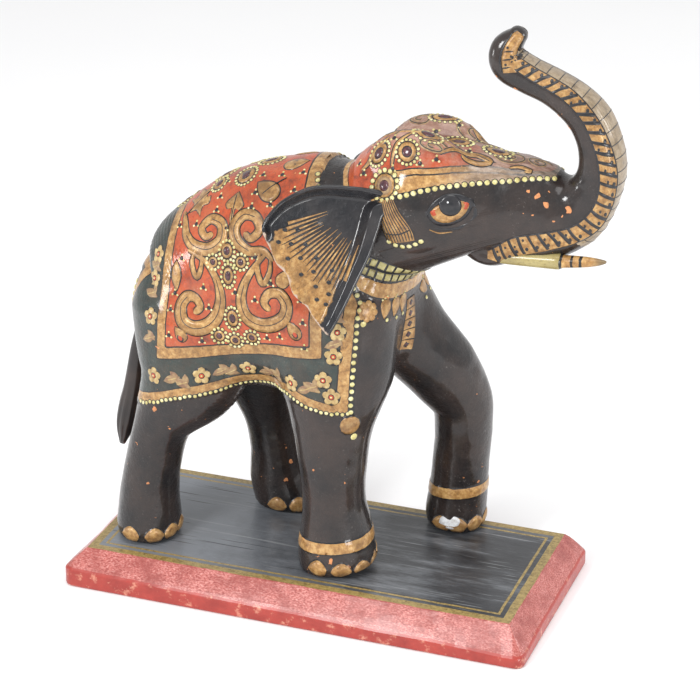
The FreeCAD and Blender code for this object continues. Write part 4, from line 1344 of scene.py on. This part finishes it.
def eyes():
    """Ochre almond, dark iris under a dark lid, red corners and a gold crease below; the pale dot
    on the iris is a painted highlight, and the dark stroke under the eye is part painted line, part
    painted shade.
    """
    centre = [(84.5, -23, 265.5)]
    turn = {"turn": 9}
    patch(lines, centre, np.array(EYE_WHITE) * (1.22, 1.30), lift=0.06, dome=0.1, **turn)
    patch(gold, centre, EYE_WHITE, lift=0.26, dome=0.4, **turn)
    for corner in ([(8.4, 3.4), (11.6, 3.0), (9.8, -0.8), (8.0, 0.4)],
                   [(-9.0, 1.0), (-11.2, 0.0), (-9.8, -2.8), (-8.6, -1.0)]):
        patch(reds, centre, corner, lift=0.45, dome=0.05, **turn)
    disc(lines, centre, 6.5, lift=0.66, dome=0.2, offsets=[(0.3, 2.6)], segments=22)
    # A pale dot on the iris: a painted highlight, in the foot scar's pale filler.
    disc(white, centre, 0.6, lift=0.9, dome=0.1, offsets=[(-1.2, 4.4)], segments=8)
    lid = [(71, -25.8, 261.5), (75, -24.8, 267.4), (81, -23, 272.2), (88, -21.3, 273.2),
           (94, -19.8, 271.4), (98.5, -18.6, 267.5)]
    stroke(lines, lid, (1.4, 2.8, 3.6, 3.6, 3.0, 2.0), lift=0.34, dome=0.3)
    # A dark stroke from the eye's front corner round under the eye: part painted line, part painted
    # shade below the eye.
    stroke(lines, [(98.5, -18.5, 267), (98, -18.5, 260), (93, -20, 255), (84, -22, 252.8),
                   (76, -24, 254)], (1.6, 2.6, 2.4, 1.6, 0.8), lift=0.1, dome=0.1)
    stroke(gold, [(73, -25, 253), (79, -23.5, 250.5), (86, -21.5, 251)], (0.3, 0.8, 0.3),
           lift=0.3, dome=0.1)


BAND_IN = [(104, -11, 238), (110, -12, 243), (116, -13, 248), (124, -14, 251), (136, -13, 254),
           (153, -10, 259), (164, -9, 270), (168, -8, 283), (167, -8, 298), (162, -7, 312),
           (155, -6, 324), (143, -5, 334), (125, -4, 342), (113, -3, 349), (110, -1, 357)]
BAND_OUT = [(104, -9, 233), (110, -8, 232), (117, -7, 232), (123, -8, 238), (140, -8, 244),
            (158, -6, 251), (173, -3, 264), (178, -3, 283), (177, -4, 298), (170, -4, 315),
            (161, -3, 327), (148, -1, 337), (131, 0, 345), (117, 1, 352), (114, 2, 359)]


def resample(points, count):
    curve = catmull_rom(points, 10)
    length = np.concatenate([[0], np.cumsum(np.linalg.norm(np.diff(curve, axis=0), axis=1))])
    at = np.linspace(0, length[-1], count)
    return np.column_stack([np.interp(at, length, curve[:, i]) for i in range(3)])


def fill_between(layer, first, second, lift, columns=7, both=True, dome=0.0):
    """Paint over the whole strip between two lines of points."""
    for number in range(columns):
        share = (number + 0.5) / columns
        wide = np.linalg.norm(first - second, axis=1) / columns * 1.15
        line = first * (1 - share) + second * share
        stroke(layer, line[::3], wide[::3], lift=lift, dome=dome, both=both, taper=False)


def trunk_paint():
    """The gold band along each side with its bars and dots, and the ringed outer face."""
    count = 156
    inner, outer = resample(BAND_IN, count), resample(BAND_OUT, count)
    fill_between(gold, inner, outer, 0.16)
    stroke(lines, inner[::4], 0.8, lift=0.3, dome=0.05)
    draw = np.random.default_rng(31)
    for i in range(4, count - 3, 5):
        a, b = inner[i], outer[min(i + draw.integers(0, 2), count - 1)]
        sway = (outer[i] - outer[i - 1]) * draw.uniform(-0.4, 0.4)
        stroke(lines, [a, (a + b) / 2 + sway, a * 0.06 + b * 0.94],
               (1.7, draw.uniform(1.5, 2.3), 1.9), lift=0.32, dome=0.15, taper=False)
        for share, size in ((0.72, 1.0), (draw.uniform(0.2, 0.45), 0.7))[:draw.integers(1, 3)]:
            spot = inner[i + 2] * (1 - share) + outer[i + 2] * share
            disc(lines, spot, size, lift=0.32, dome=0.15, segments=8, stretch=1.4)
    face = outer[42:]
    far = face * (1, -1, 1) + (0, 2 * YC, 0)
    # The outer face gets pale greyish gold paint, made pale in part as a painted sheen.
    fill_between(pale, face, far, 0.14, columns=9, both=False)
    stroke(lines, face[::3], 0.7, lift=0.34, dome=0.05)
    for i in range(4, len(face) - 3, 6):
        across = [face[i] * (1 - t) + far[i] * t for t in (0, 0.25, 0.5, 0.75, 1)]
        stroke(lines, across, 0.5, lift=0.30, dome=0.05, both=False)
    tip = [(113, -1.5, 345), (111.5, -1.5, 352), (112, -1, 358), (115, 1, 364), (117, 2, 367)]
    stroke(gold, tip, (8.0, 9.0, 8.5, 7.5, 5.0), lift=0.3, dome=0.2, taper=False)
    stroke(lines, [(108, 0, 345), (106.5, 0, 352), (108, 0, 359), (112, 2, 366)], 0.9, lift=0.42,
           dome=0.1)
    for low in (347, 351.5, 356):
        stroke(lines, [(108, -2, low), (113, 0, low + 0.6)], 0.9, lift=0.55, dome=0.05)
    for x, z in ((110, 349), (112, 353.5), (110, 358.5)):
        disc(lines, [(x, -1, z)], 0.8, lift=0.5, dome=0.1, segments=7)


COLLAR_FRONT = np.array([0.868, 0, -0.497])


def collar_ring(level, angles, x=32.0):
    """Places round the neck at one level of the tilted collar."""
    turn = np.radians(angles)
    start = np.array([x, YC, (level - 0.497 * x) / 0.868])
    rays = np.cos(turn)[:, None] * COLLAR_FRONT + np.sin(turn)[:, None] * np.array([0, -1.0, 0])
    return shoot(start, rays, 70)


def collar_paint():
    for level, phase in ((212.3, 0.0), (218.2, 4.0)):
        ring = collar_ring(level, np.arange(-96 + phase, 97, 1.5))
        stroke(lines, ring[::2], 6.3, lift=0.10, dome=0.0, both=False, taper=False)
        corners = spaced(ring, 5.7)
        for a, b in zip(corners[:-1], corners[1:]):
            along_ring = (b - a) * 0.37
            middle = (a + b) / 2
            stroke(tiles, [middle - along_ring, middle, middle + along_ring], 4.3, lift=0.28,
                   dome=0.3, both=False, taper=False)
    for place in collar_ring(196.4, np.array([-62, -48, -32, 32, 48, 62])):
        outlined_patch(place[None], np.array(DROP) * (1, -1), size=0.84, both=False)
        disc(lines, place[None] - (0, 0, 7.6), 1.7, lift=0.08, dome=0.0, both=False, segments=9)
        disc(beads, place[None] - (0, 0, 7.6), 1.25, lift=0.2, dome=0.4, both=False, segments=9)
        disc(beads, place[None] + (0, 0, 5.2), 0.8, lift=0.2, dome=0.3, both=False, segments=7,
             offsets=[(-2.4, 0), (0, 0), (2.4, 0)])
    cluster = [(41.5, -38, 201.0)]
    disc(lines, cluster, 7.2, lift=0.08, dome=0.0)
    disc(gold, cluster, 2.2, lift=0.2, dome=0.3, segments=9, offsets=around(4.6, 8))
    disc(gold, cluster, 4.6, lift=0.26, dome=0.4)
    disc(beads, [(38.5, -39.5, 193.0)], 1.9, lift=0.2, dome=0.4)


def chest_strap():
    """Gold plates with dark diamonds hanging from the collar down the middle of the chest."""
    heights = np.arange(196, 158, -7.0)
    places = shoot(np.column_stack([np.full_like(heights, 12), np.full_like(heights, YC - 3.5),
                                    heights]), (1, 0, 0))
    for upper, lower in zip(places[:-1], places[1:]):
        middle, half = (upper + lower) / 2, (upper - lower) * 0.45
        stroke(lines, [middle - half * 1.1, middle, middle + half * 1.1], 11.0, lift=0.1,
               dome=0.0, both=False, taper=False)
        stroke(gold, [middle - half, middle, middle + half], 9.8, lift=0.22, dome=0.2,
               both=False, taper=False)
        disc(lines, middle[None], 2.3, lift=0.42, dome=0.1, both=False, segments=4)
        disc(stones, middle[None], 1.2, lift=0.56, dome=0.2, both=False, segments=8)


FEET = {"near_hind": ((-109, -26), (-103, -60, -24, 14)),
        "far_hind": ((-43, 41), (-88, -48, -8, 32, 70, 106)),
        "near_front": ((18, -25), (-105, -68, -33, 2, 38)),
        "far_front": ((68, 51), (-103, -68, -30, 8, 45, 82))}
NAIL = [(-4.6, -3.6), (-4.8, 0), (-3.2, 3.2), (0, 4.4), (3.2, 3.2), (4.8, 0), (4.6, -3.6),
        (0, -4.2)]


def toenails():
    for (x, y), angles in FEET.values():
        for angle in angles:
            ray = (math.cos(math.radians(angle)), math.sin(math.radians(angle)), 0)
            for layer, size, lift, dome in ((lines, 1.66, 0.1, 0.3), (gold, 1.46, 0.4, 0.9)):
                place = shoot((x, y, BOARD_TOP + 6.6), ray, 50)
                nail(layer, place, ray, size, lift, dome)


def nail(layer, place, ray, size, lift, dome):
    """A nail's outline laid round the foot: its x runs along the foot's girth."""
    side = np.array([-ray[1], ray[0], 0]) * (1 if ray[0] > 0 or ray[1] < 0 else -1)
    outline = np.array(NAIL) * size
    path = [place[0] + side * u + np.array([0, 0, v]) for u, v in
            ((outline[1][0] * 0.9, 0), (0, 0), (outline[5][0] * 0.9, 0))]
    stroke(layer, path, (4.2 * size, 8.4 * size, 4.2 * size), lift=lift, dome=dome, both=False)


FLAKES = [(133, -11, 276, 2.2), (138, -11, 271.5, 2.6), (151, -9, 269, 2.4), (153, -10, 257, 2.8),
          (128, -13, 279, 1.2), (131, -12, 265, 0.9), (143, -11, 262, 1.0), (97, -18, 281, 0.9),
          (39, -30, 262, 2.2), (37, -30, 273, 1.6), (44, -30, 255, 1.2), (147, -3, 316, 1.8),
          (141, -3, 322, 1.5), (115, -4, 333, 1.4), (103, -3, 340, 1.2), (45, -22, 204, 3.0),
          (-24, -40, 140, 1.2), (-97, -45, 118, 2.0), (-103, -42, 66, 1.1), (20, -46, 36, 2.4),
          (30, -44, 33, 2.0), (8, -46, 31, 1.8), (-112, -47, 30, 1.8), (88, 39, 60, 1.4),
          (-31, 24, 60, 1.6), (-36, 22, 48, 1.8), (9, -44, 96, 1.0), (28, -42, 88, 0.9)]


def missing_paint():
    """Chips down to the bare wood, each an uneven patch, and the pale scar on one foot."""
    draw = np.random.default_rng(23)
    for x, y, z, reach in FLAKES:
        turn = np.linspace(0, 2 * math.pi, 9, endpoint=False)
        outline = np.column_stack([np.cos(turn), np.sin(turn) * draw.uniform(0.5, 0.95)])
        outline *= (reach * draw.uniform(0.55, 1.15, 9))[:, None]
        patch(wood, [(x, y, z)], outline, lift=0.07, dome=0.0, turn=draw.uniform(0, 180),
              both=False)
    scar = shoot((68, 51, BOARD_TOP + 9), (0.1, -1, 0), 50)
    patch(white, scar, [(-7, -1), (-5, 3.6), (0, 1.8), (3, 4.6), (7, 2), (4, -3), (0, -4.4)],
          lift=1.2, dome=0.1, both=False)


# ============================================================ ears

EAR_OUTLINE = [(-3.5, -3), (-2.5, 3), (7, 5.6), (15, 6.8), (30, 8.3), (42, 7), (55, 1), (63, -6),
               (67.5, -12.5), (67.5, -18.5), (63.5, -27), (60.2, -36), (54.6, -42.5),
               (52.5, -50), (50.5, -55), (43.5, -62), (40.5, -67.5), (36.5, -73.5),
               (32.5, -78.5), (29, -75.5), (20.5, -61), (12.7, -46.5), (6, -34), (0.8, -21),
               (-2.4, -12)]
EAR_TOP, EAR_FRONT = slice(1, 10), slice(18, 25)
EAR_FLARE, EAR_LEAN = math.radians(27), math.radians(18)
EAR_BACK = np.array([-math.cos(EAR_FLARE), -math.sin(EAR_FLARE), 0])
EAR_UP = np.array([-math.sin(EAR_FLARE) * math.sin(EAR_LEAN),
                   math.cos(EAR_FLARE) * math.sin(EAR_LEAN), math.cos(EAR_LEAN)])
EAR_OUT = -np.cross(EAR_BACK, EAR_UP)


LEFT_DROP, LEFT_DROOP = 4.5, math.radians(10)


def ear_hub():
    """Where the right ear's dowel leaves its hub."""
    low, high = node_box("ear_dowels")
    return np.array([(low[0] + high[0]) / 2, YC - 31.0, high[2] - 2.5])


def line_distance(points, line):
    best = np.full(len(points), 1e9)
    for a, b in zip(line[:-1], line[1:]):
        span = b - a
        t = np.clip(((points - a) @ span) / (span @ span), 0, 1)
        best = np.minimum(best, np.linalg.norm(points - a - t[:, None] * span, axis=1))
    return best


def ear_curves():
    curve = catmull_rom(np.vstack([EAR_OUTLINE, EAR_OUTLINE[:1]]), 8)[:-1]
    top = catmull_rom(np.array(EAR_OUTLINE, float)[EAR_TOP], 6)
    front = catmull_rom(np.array(EAR_OUTLINE, float)[EAR_FRONT], 6)
    return curve, top, front


def ear_face(points):
    """Height of the visible face over the ear's plane: hollow, with a top rim and a front rib."""
    _, top, front = ear_curves()
    from_top, from_front = line_distance(points, top), line_distance(points, front)
    back_share = np.clip(points[:, 0] / 68, 0, 1)
    rim_width = 8.6 - 4.2 * back_share**3
    rim = 7.4 * (1 - ramp(from_top, 1.0, rim_width)**0.8) * (1 - 0.25 * back_share**2)
    tip_share = np.clip(-points[:, 1] / 80, 0, 1)
    flat = 8.2 - 4.2 * tip_share
    rib = (6.6 - 2.6 * tip_share) * (1 - np.clip((from_front - flat) / 4.2, 0, 1))
    reach = np.hypot(points[:, 0], points[:, 1])
    hollow = -2.2 * (1 - ramp(reach, 20, 62)) + 0.5 * ramp(reach, 52, 72)
    rounding = 1.1 * np.clip(1 - np.minimum(from_top, from_front) / 1.4, 0, 1)**2
    return hollow + np.maximum(rim, rib) - rounding


def ear_places(points, heights, hand):
    """Ear coordinates to the part's frame; the left ear sits lower and droops."""
    if hand > 0:
        c, s = math.cos(LEFT_DROOP), math.sin(LEFT_DROOP)
        points = points @ np.array([[c, -s], [s, c]])
    places = ear_hub() - (0, 0, LEFT_DROP * (hand > 0)) + points[:, :1] * EAR_BACK \
        + points[:, 1:] * EAR_UP + heights[:, None] * EAR_OUT
    return places if hand < 0 else places * (1, -1, 1) + (0, 2 * YC, 0)


def ear_mesh(name, hand, material):
    curve, top, front = ear_curves()
    heart = np.array([30.0, -26.0])
    shares = [1 - d / 46 for d in np.arange(0, 17, 0.7)] + list(np.linspace(0.62, 0.04, 17))
    flat = np.vstack([heart + (curve - heart) * s for s in shares] + [heart[None]])
    face = ear_face(flat)
    face += 0.25 * wobble(np.column_stack([flat, face]), 6.0)
    from_top = line_distance(flat, top)
    from_front = line_distance(flat, front)
    shell = 3.4 + 6.0 * (1 - ramp(from_front, 6, 13)) * 1.0
    back = np.minimum(face - 1.6, np.maximum(face - shell, -5.6))
    size, rings = len(curve), len(shares)
    verts = np.vstack([ear_places(flat, face, hand), ear_places(flat, back, hand)])
    half = len(flat)
    faces = []
    for layer in (0, half):
        for r in range(rings - 1):
            for i in range(size):
                k = (i + 1) % size
                faces.append((layer + r * size + i, layer + r * size + k,
                              layer + (r + 1) * size + k, layer + (r + 1) * size + i))
        for i in range(size):
            faces.append((layer + (rings - 1) * size + i,
                          layer + (rings - 1) * size + (i + 1) % size, layer + rings * size))
    for i in range(size):
        k = (i + 1) % size
        faces.append((i, half + i, half + k, k))
    obj = new_object("carved_" + name, verts, faces, material)
    mesh = bmesh.new()
    mesh.from_mesh(obj.data)
    bmesh.ops.recalc_face_normals(mesh, faces=mesh.faces[:])
    mesh.to_mesh(obj.data)
    mesh.free()
    reach = np.hypot(flat[:, 0], flat[:, 1])
    turn = np.degrees(np.arctan2(-flat[:, 1], flat[:, 0]))
    ochre = np.minimum(np.minimum(reach - 50, (turn - 16) * reach / 57),
                       np.minimum(from_top - 7, from_front - 13.5 + 6.5 * np.clip(
                           -flat[:, 1] / 80, 0, 1)))
    edge = line_distance(flat, catmull_rom(np.array(EAR_OUTLINE, float)[9:19], 6))
    for key, value in (("ochre", ochre), ("edge", edge)):
        layer = obj.data.attributes.new(key, "FLOAT", "POINT")
        behind = np.full(half, -9.0 if key == "ochre" else 9.0)
        layer.data.foreach_set("value", np.concatenate([value, behind]).astype(np.float32))
    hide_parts(name)
    return obj


def ear_strip(layer, start, end, widths, lift, hand):
    """A painted streak on the ear from one place to another, in the ear's plane."""
    count = 12
    t = np.linspace(0, 1, count)[:, None]
    line = np.array(start) * (1 - t) + np.array(end) * t
    direction = np.array(end, float) - np.array(start, float)
    side = np.array([-direction[1], direction[0]]) / (np.linalg.norm(direction) + 1e-9)
    wide = np.interp(t[:, 0], np.linspace(0, 1, len(widths)), widths)
    rows = [line + side * wide[:, None] * share / 2 for share in (-1, -1, 0, 1, 1)]
    flat = np.stack(rows, 1).reshape(-1, 2)
    rise = np.tile([-0.3, 0, 0.18, 0, -0.3], count)
    rise = np.where(rise < 0, rise, rise + lift)
    verts = ear_places(flat, ear_face(flat) + rise, hand)
    faces = [(i * 5 + j, i * 5 + j + 1, i * 5 + j + 6, i * 5 + j + 5) for i in range(count - 1)
             for j in range(4)]
    layer.take(verts, [f[::-1] for f in faces] if hand > 0 else faces)


def ear_paint(hand, gold_layer, line_layer):
    """Fans of dark and gold streaks from the hollow into the gold outer zone, and dots."""
    draw = np.random.default_rng(11)
    for number, turn in enumerate(np.linspace(14, 66, 37)):
        c, s = math.cos(math.radians(turn)), -math.sin(math.radians(turn))
        if number % 2:
            start, stop = 46 + draw.uniform(-2, 2), 60 + draw.uniform(-4, 4)
            ear_strip(line_layer, (start * c, start * s), (stop * c, stop * s), (1.0, 1.0, 0.2),
                      0.24, hand)
        else:
            start, stop = 34 + draw.uniform(-5, 4), 54 + draw.uniform(-2, 2)
            ear_strip(gold_layer, (start * c, start * s), (stop * c, stop * s), (0.2, 1.0, 1.9),
                      0.16, hand)
    for reach, turns in ((50, (20, 31, 43, 56)), (57, (17, 26, 36, 47, 58)),
                         (63, (22, 32, 43, 53, 61)), (69, (57, 62))):
        for turn in turns:
            c, s = math.cos(math.radians(turn)), -math.sin(math.radians(turn))
            place = np.array([reach * c, reach * s])
            ear_strip(line_layer, place - (1.3, 0.3), place + (1.3, 0.3), (1.2, 2.5, 1.2), 0.3,
                      hand)


# ============================================================ tusks, tail, board, fasteners

def tube(path_rows, segments=20, flat=1.0):
    """Rings of points along rows of x, y, z, radius, closed at both ends."""
    rows = catmull_rom(path_rows, 5)
    centre, radius = rows[:, :3], rows[:, 3]
    tangent = np.gradient(centre, axis=0)
    tangent /= np.linalg.norm(tangent, axis=1)[:, None]
    across = np.cross(tangent, (0, 1.0, 0))
    across /= np.linalg.norm(across, axis=1)[:, None]
    other = np.cross(tangent, across)
    turn = np.linspace(0, 2 * math.pi, segments, endpoint=False)
    verts = (centre[:, None] + across[:, None] * (np.cos(turn)[None, :, None]
                                                  * radius[:, None, None])
             + other[:, None] * (np.sin(turn)[None, :, None] * radius[:, None, None] * flat))
    n = len(rows)
    faces = [(i * segments + j, i * segments + (j + 1) % segments,
              (i + 1) * segments + (j + 1) % segments, (i + 1) * segments + j)
             for i in range(n - 1) for j in range(segments)]
    faces.append(tuple(range(segments))[::-1])
    faces.append(tuple((n - 1) * segments + j for j in range(segments)))
    return verts.reshape(-1, 3), faces


def tusk(name, hand, material, broken=False):
    """Thick to a carved shoulder, then thin to the point; the broken one ends in its root."""
    low, high = node_box(name)
    root_x, tip_x = low[0], high[0]
    y = YC + hand * 13.2
    if broken:
        tip_x = root_x + 38
        rows = [(root_x + 4, y, 232.4, 3.2), (root_x + 16, y, 233.8, 4.5),
                (tip_x - 2, y, 235.4, 4.8), (tip_x - 0.4, y, 235.6, 4.0)]
    else:
        rows = [(root_x + 4, y, 232.8, 2.8), (root_x + 11, y, 233.4, 3.7), (124, y, 234.4, 4.4),
                (138, y, 235.3, 4.8), (145.5, y, 235.9, 5.0), (148.5, y, 236.1, 3.9),
                (156, y, 236.9, 3.5), (163, y, 237.7, 3.0), (169, y, 238.4, 2.1),
                (tip_x - 1, y, 239.0, 1.1), (tip_x, y, 239.2, 0.5)]
    verts, faces = tube(rows)
    obj = new_object("carved_" + name, verts, faces, material)
    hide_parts(name)


def tail_piece(material):
    low, high = node_box("tail")
    rows = [(high[0] - 3, YC + 1, 178, 3.6), (-123, YC + 1, 158, 4.0),
            (-129.5, YC + 1, 136, 4.4), (-134, YC + 1, 108, 6.0), (-138, YC + 1, 90, 7.0),
            (-141, YC + 1, 76, 6.2), (-143.5, YC + 1, low[2] + 0.6, 2.0)]
    verts, faces = tube(rows, segments=36, flat=0.74)
    centre = verts.reshape(-1, 36, 3).mean(1, keepdims=True)
    arms = verts.reshape(-1, 36, 3) - centre
    turn = np.linspace(0, 2 * math.pi, 36, endpoint=False)
    tuft = ramp(112 - centre[:, :, 2], 0, 18)[..., None]
    flutes = 1 - 0.13 * tuft * (0.5 + 0.5 * np.cos(9 * turn))[None, :, None]
    obj = new_object("carved_tail", (centre + arms * flutes).reshape(-1, 3), faces, material)
    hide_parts("tail")


def board_ring(hx, hy, radius, per_corner=7, per_side=40):
    """One rounded rectangle of points, half sizes hx and hy, anticlockwise."""
    signs = [(1, -1), (1, 1), (-1, 1), (-1, -1)]
    ring = []
    for quarter in range(4):
        cx, cy = signs[quarter]
        start = -90 + 90 * quarter
        for angle in np.radians(np.linspace(start, start + 90, per_corner)):
            ring.append((cx * (hx - radius) + radius * math.cos(angle),
                         cy * (hy - radius) + radius * math.sin(angle)))
        nxt = signs[(quarter + 1) % 4]
        first = np.array(ring[-1])
        angle = math.radians(start + 90)
        last = np.array([nxt[0] * (hx - radius) + radius * math.cos(angle),
                         nxt[1] * (hy - radius) + radius * math.sin(angle)])
        ring += [tuple(first + (last - first) * t)
                 for t in np.linspace(0, 1, per_side + 1)[1:-1]]
    return np.array(ring)


def board(material):
    """The bevelled board: rings of points from the foot of its side to the middle of its top."""
    half = (BOARD_HIGH - BOARD_LOW) / 2
    middle = (BOARD_HIGH + BOARD_LOW) / 2
    bevel_run, corner = 12.0, 6.0
    insets = [0.9, 0.25, 0, 0, 0, 0.3, 2.4, 4.8, 7.2, 9.6, 11.6, 12.3, 14, 16, 18, 20, 22, 24] \
        + list(np.arange(28, half[1] - 1, 4.0))
    foot_heights = (0.0, 0.5, 1.4, 4.6)
    verts, marks_inset = [], []
    for number, inset in enumerate(insets):
        ring = board_ring(half[0] - inset, half[1] - inset, max(corner - inset * 0.6, 0.4))
        near = ramp(-ring[:, 1], 20, 60)
        side_height = 9.0 + near * (2.6 - 5.4 * (ring[:, 0] / half[0] * 0.5 + 0.5))
        side_height += 0.5 * wobble(np.column_stack([ring, np.zeros(len(ring))]), 26.0)
        if number < len(foot_heights):
            height = np.full(len(ring), foot_heights[number])
        elif number == len(foot_heights):
            height = side_height - 0.35
        elif inset < bevel_run:
            height = side_height + (half[2] * 2 - side_height) * (inset / bevel_run)**0.93
        else:
            height = np.full(len(ring), half[2] * 2)
        place = np.column_stack([ring, height])
        if 2 < number < 12:
            place[:, 2] += 0.22 * wobble(place, 9.0) * (height < 22.4)
        verts.append(place)
        marks_inset.append(np.full(len(ring), inset))
    size = len(verts[0])
    faces = [(r * size + i, r * size + (i + 1) % size, (r + 1) * size + (i + 1) % size,
              (r + 1) * size + i) for r in range(len(insets) - 1) for i in range(size)]
    faces.append(tuple(range(size))[::-1])
    faces.append(tuple((len(insets) - 1) * size + i for i in range(size)))
    places = np.vstack(verts)
    places[:, 2] = np.clip(places[:, 2], 0, half[2] * 2)
    places[:, :2] += middle[:2]
    places[:, 2] += BOARD_LOW[2]
    obj = new_object("painted_board", places, faces, material, smooth=False)
    layer = obj.data.attributes.new("inset", "FLOAT", "POINT")
    layer.data.foreach_set("value", np.concatenate(marks_inset).astype(np.float32))
    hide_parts("base_board")


# ============================================================ putting it together

skin = painted_wood()
carve_blocks(skin)
gold = Layer("gold_ornament", gold_paint(), "gold_paint")
lines = Layer("dark_outlines", line_paint(), "line_paint")
beads = Layer("painted_beads", grimy_paint("bead_paint", *BEAD_LOOK), "bead_paint")
stones = Layer("painted_stones", jewel_paint(), "jewel_paint")
petals = Layer("flower_petals", grimy_paint("petal_paint", *PETAL_LOOK), "gold_paint")
foliage = Layer("border_leaves", leaf_paint(), "green_paint")
reds = Layer("red_dabs", red_paint(), "red_paint")
pale = Layer("trunk_face", pale_paint(), "gold_paint")
tiles = Layer("collar_squares", grimy_paint("tile_paint", *TILE_LOOK), "bead_paint")
wood = Layer("bare_chips", chip_wood("chipped_wood", BARE_WOOD, colour(0.34, 0.14, 0.06)),
             "bare_wood")
# The pale filler paints the foot's scar and also the eye's painted highlight dot.
white = Layer("foot_scar_and_eye_glint", chip_wood("pale_filler_and_eye_glint", colour(0.72, 0.74, 0.76),
                                     colour(0.45, 0.43, 0.42)), "bare_wood")
cloth_paint()
cap_paint()
cap_curls()
temple_tassel()
eyes()
trunk_paint()
collar_paint()
chest_strap()
toenails()
missing_paint()
press_marks()
ear_material = ear_wood()
for hand, name in ((-1, "ear_right"), (1, "ear_left")):
    ear_mesh(name, hand, ear_material)
    ear_paint(hand, gold, lines)
for layer in (gold, lines, beads, stones, petals, foliage, reds, pale, tiles, wood, white):
    layer.build()
tusk_material = tusk_wood()
tusk("tusk_right", -1, tusk_material)
tusk("tusk_left", 1, tusk_material, broken=True)
tail_piece(tail_lacquer())
board(board_wood())
for names, material in ((("neck_dowel", "trunk_dowel", "ear_dowels"), dowel_wood()),
                        (("foot_screws",), screw_steel())):
    for name in names:
        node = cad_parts[name]
        node.data.materials.clear()
        node.data.materials.append(material)


# ============================================================ camera, light and floor

def camera():
    """Looking at the right side from the front and a little above."""
    board_middle = (BOARD_LOW + BOARD_HIGH) / 2 * MM
    target = board_middle + (0.0152, 0, 0.1452)
    azimuth, elevation, distance = math.radians(20.2), math.radians(24.3), 1.5876
    back = np.array([math.sin(azimuth) * math.cos(elevation),
                     -math.cos(azimuth) * math.cos(elevation), math.sin(elevation)])
    data = bpy.data.cameras.new("camera")
    data.sensor_width = 36.0
    data.lens = 134.74
    obj = bpy.data.objects.new("camera", data)
    obj.location = target + back * distance
    obj.rotation_euler = (math.pi / 2 - elevation, 0, azimuth)
    bpy.context.scene.collection.objects.link(obj)
    bpy.context.scene.camera = obj


def area_light(name, place, size, energy, target=(0, 0, 0.15)):
    data = bpy.data.lights.new(name, "AREA")
    data.energy, data.size = energy, size
    obj = bpy.data.objects.new(name, data)
    obj.location = place
    aim = np.array(target) - np.array(place)
    obj.rotation_euler = (math.acos(-aim[2] / np.linalg.norm(aim)), 0,
                          math.atan2(aim[1], aim[0]) - math.pi / 2)
    bpy.context.scene.collection.objects.link(obj)


def studio():
    scene = bpy.context.scene
    scene.world = bpy.data.worlds.new("studio")
    scene.world.use_nodes = True
    background = scene.world.node_tree.nodes["Background"]
    background.inputs["Color"].default_value = (1, 1, 1, 1)
    background.inputs["Strength"].default_value = 0.80
    area_light("key", (-0.6, -1.5, 1.1), 0.45, 19.0)
    area_light("top", (0.2, -0.3, 1.7), 0.9, 9.0)
    area_light("side", (1.3, -1.0, 0.34), 0.45, 9.0)
    area_light("left", (-1.3, -0.7, 0.35), 0.28, 4.0)
    area_light("rim", (1.35, 0.55, 0.85), 0.4, 7.0)
    size, drop = 4.0, -0.0002
    mesh = bpy.data.meshes.new("floor")
    mesh.from_pydata([(-size, -size, drop), (size, -size, drop), (size, size, drop),
                      (-size, size, drop)], [], [(0, 1, 2, 3)])
    floor = bpy.data.objects.new("floor", mesh)
    paint = Paint("floor_paper", roughness=0.7)
    tint = paint.ramp(paint.noise(3, 2), (0.0, colour(0.87, 0.87, 0.88)),
                      (1.0, colour(0.91, 0.91, 0.91)))
    mesh.materials.append(paint.finish(tint))
    scene.collection.objects.link(floor)
    scene.view_settings.view_transform = "Standard"


camera()
studio()
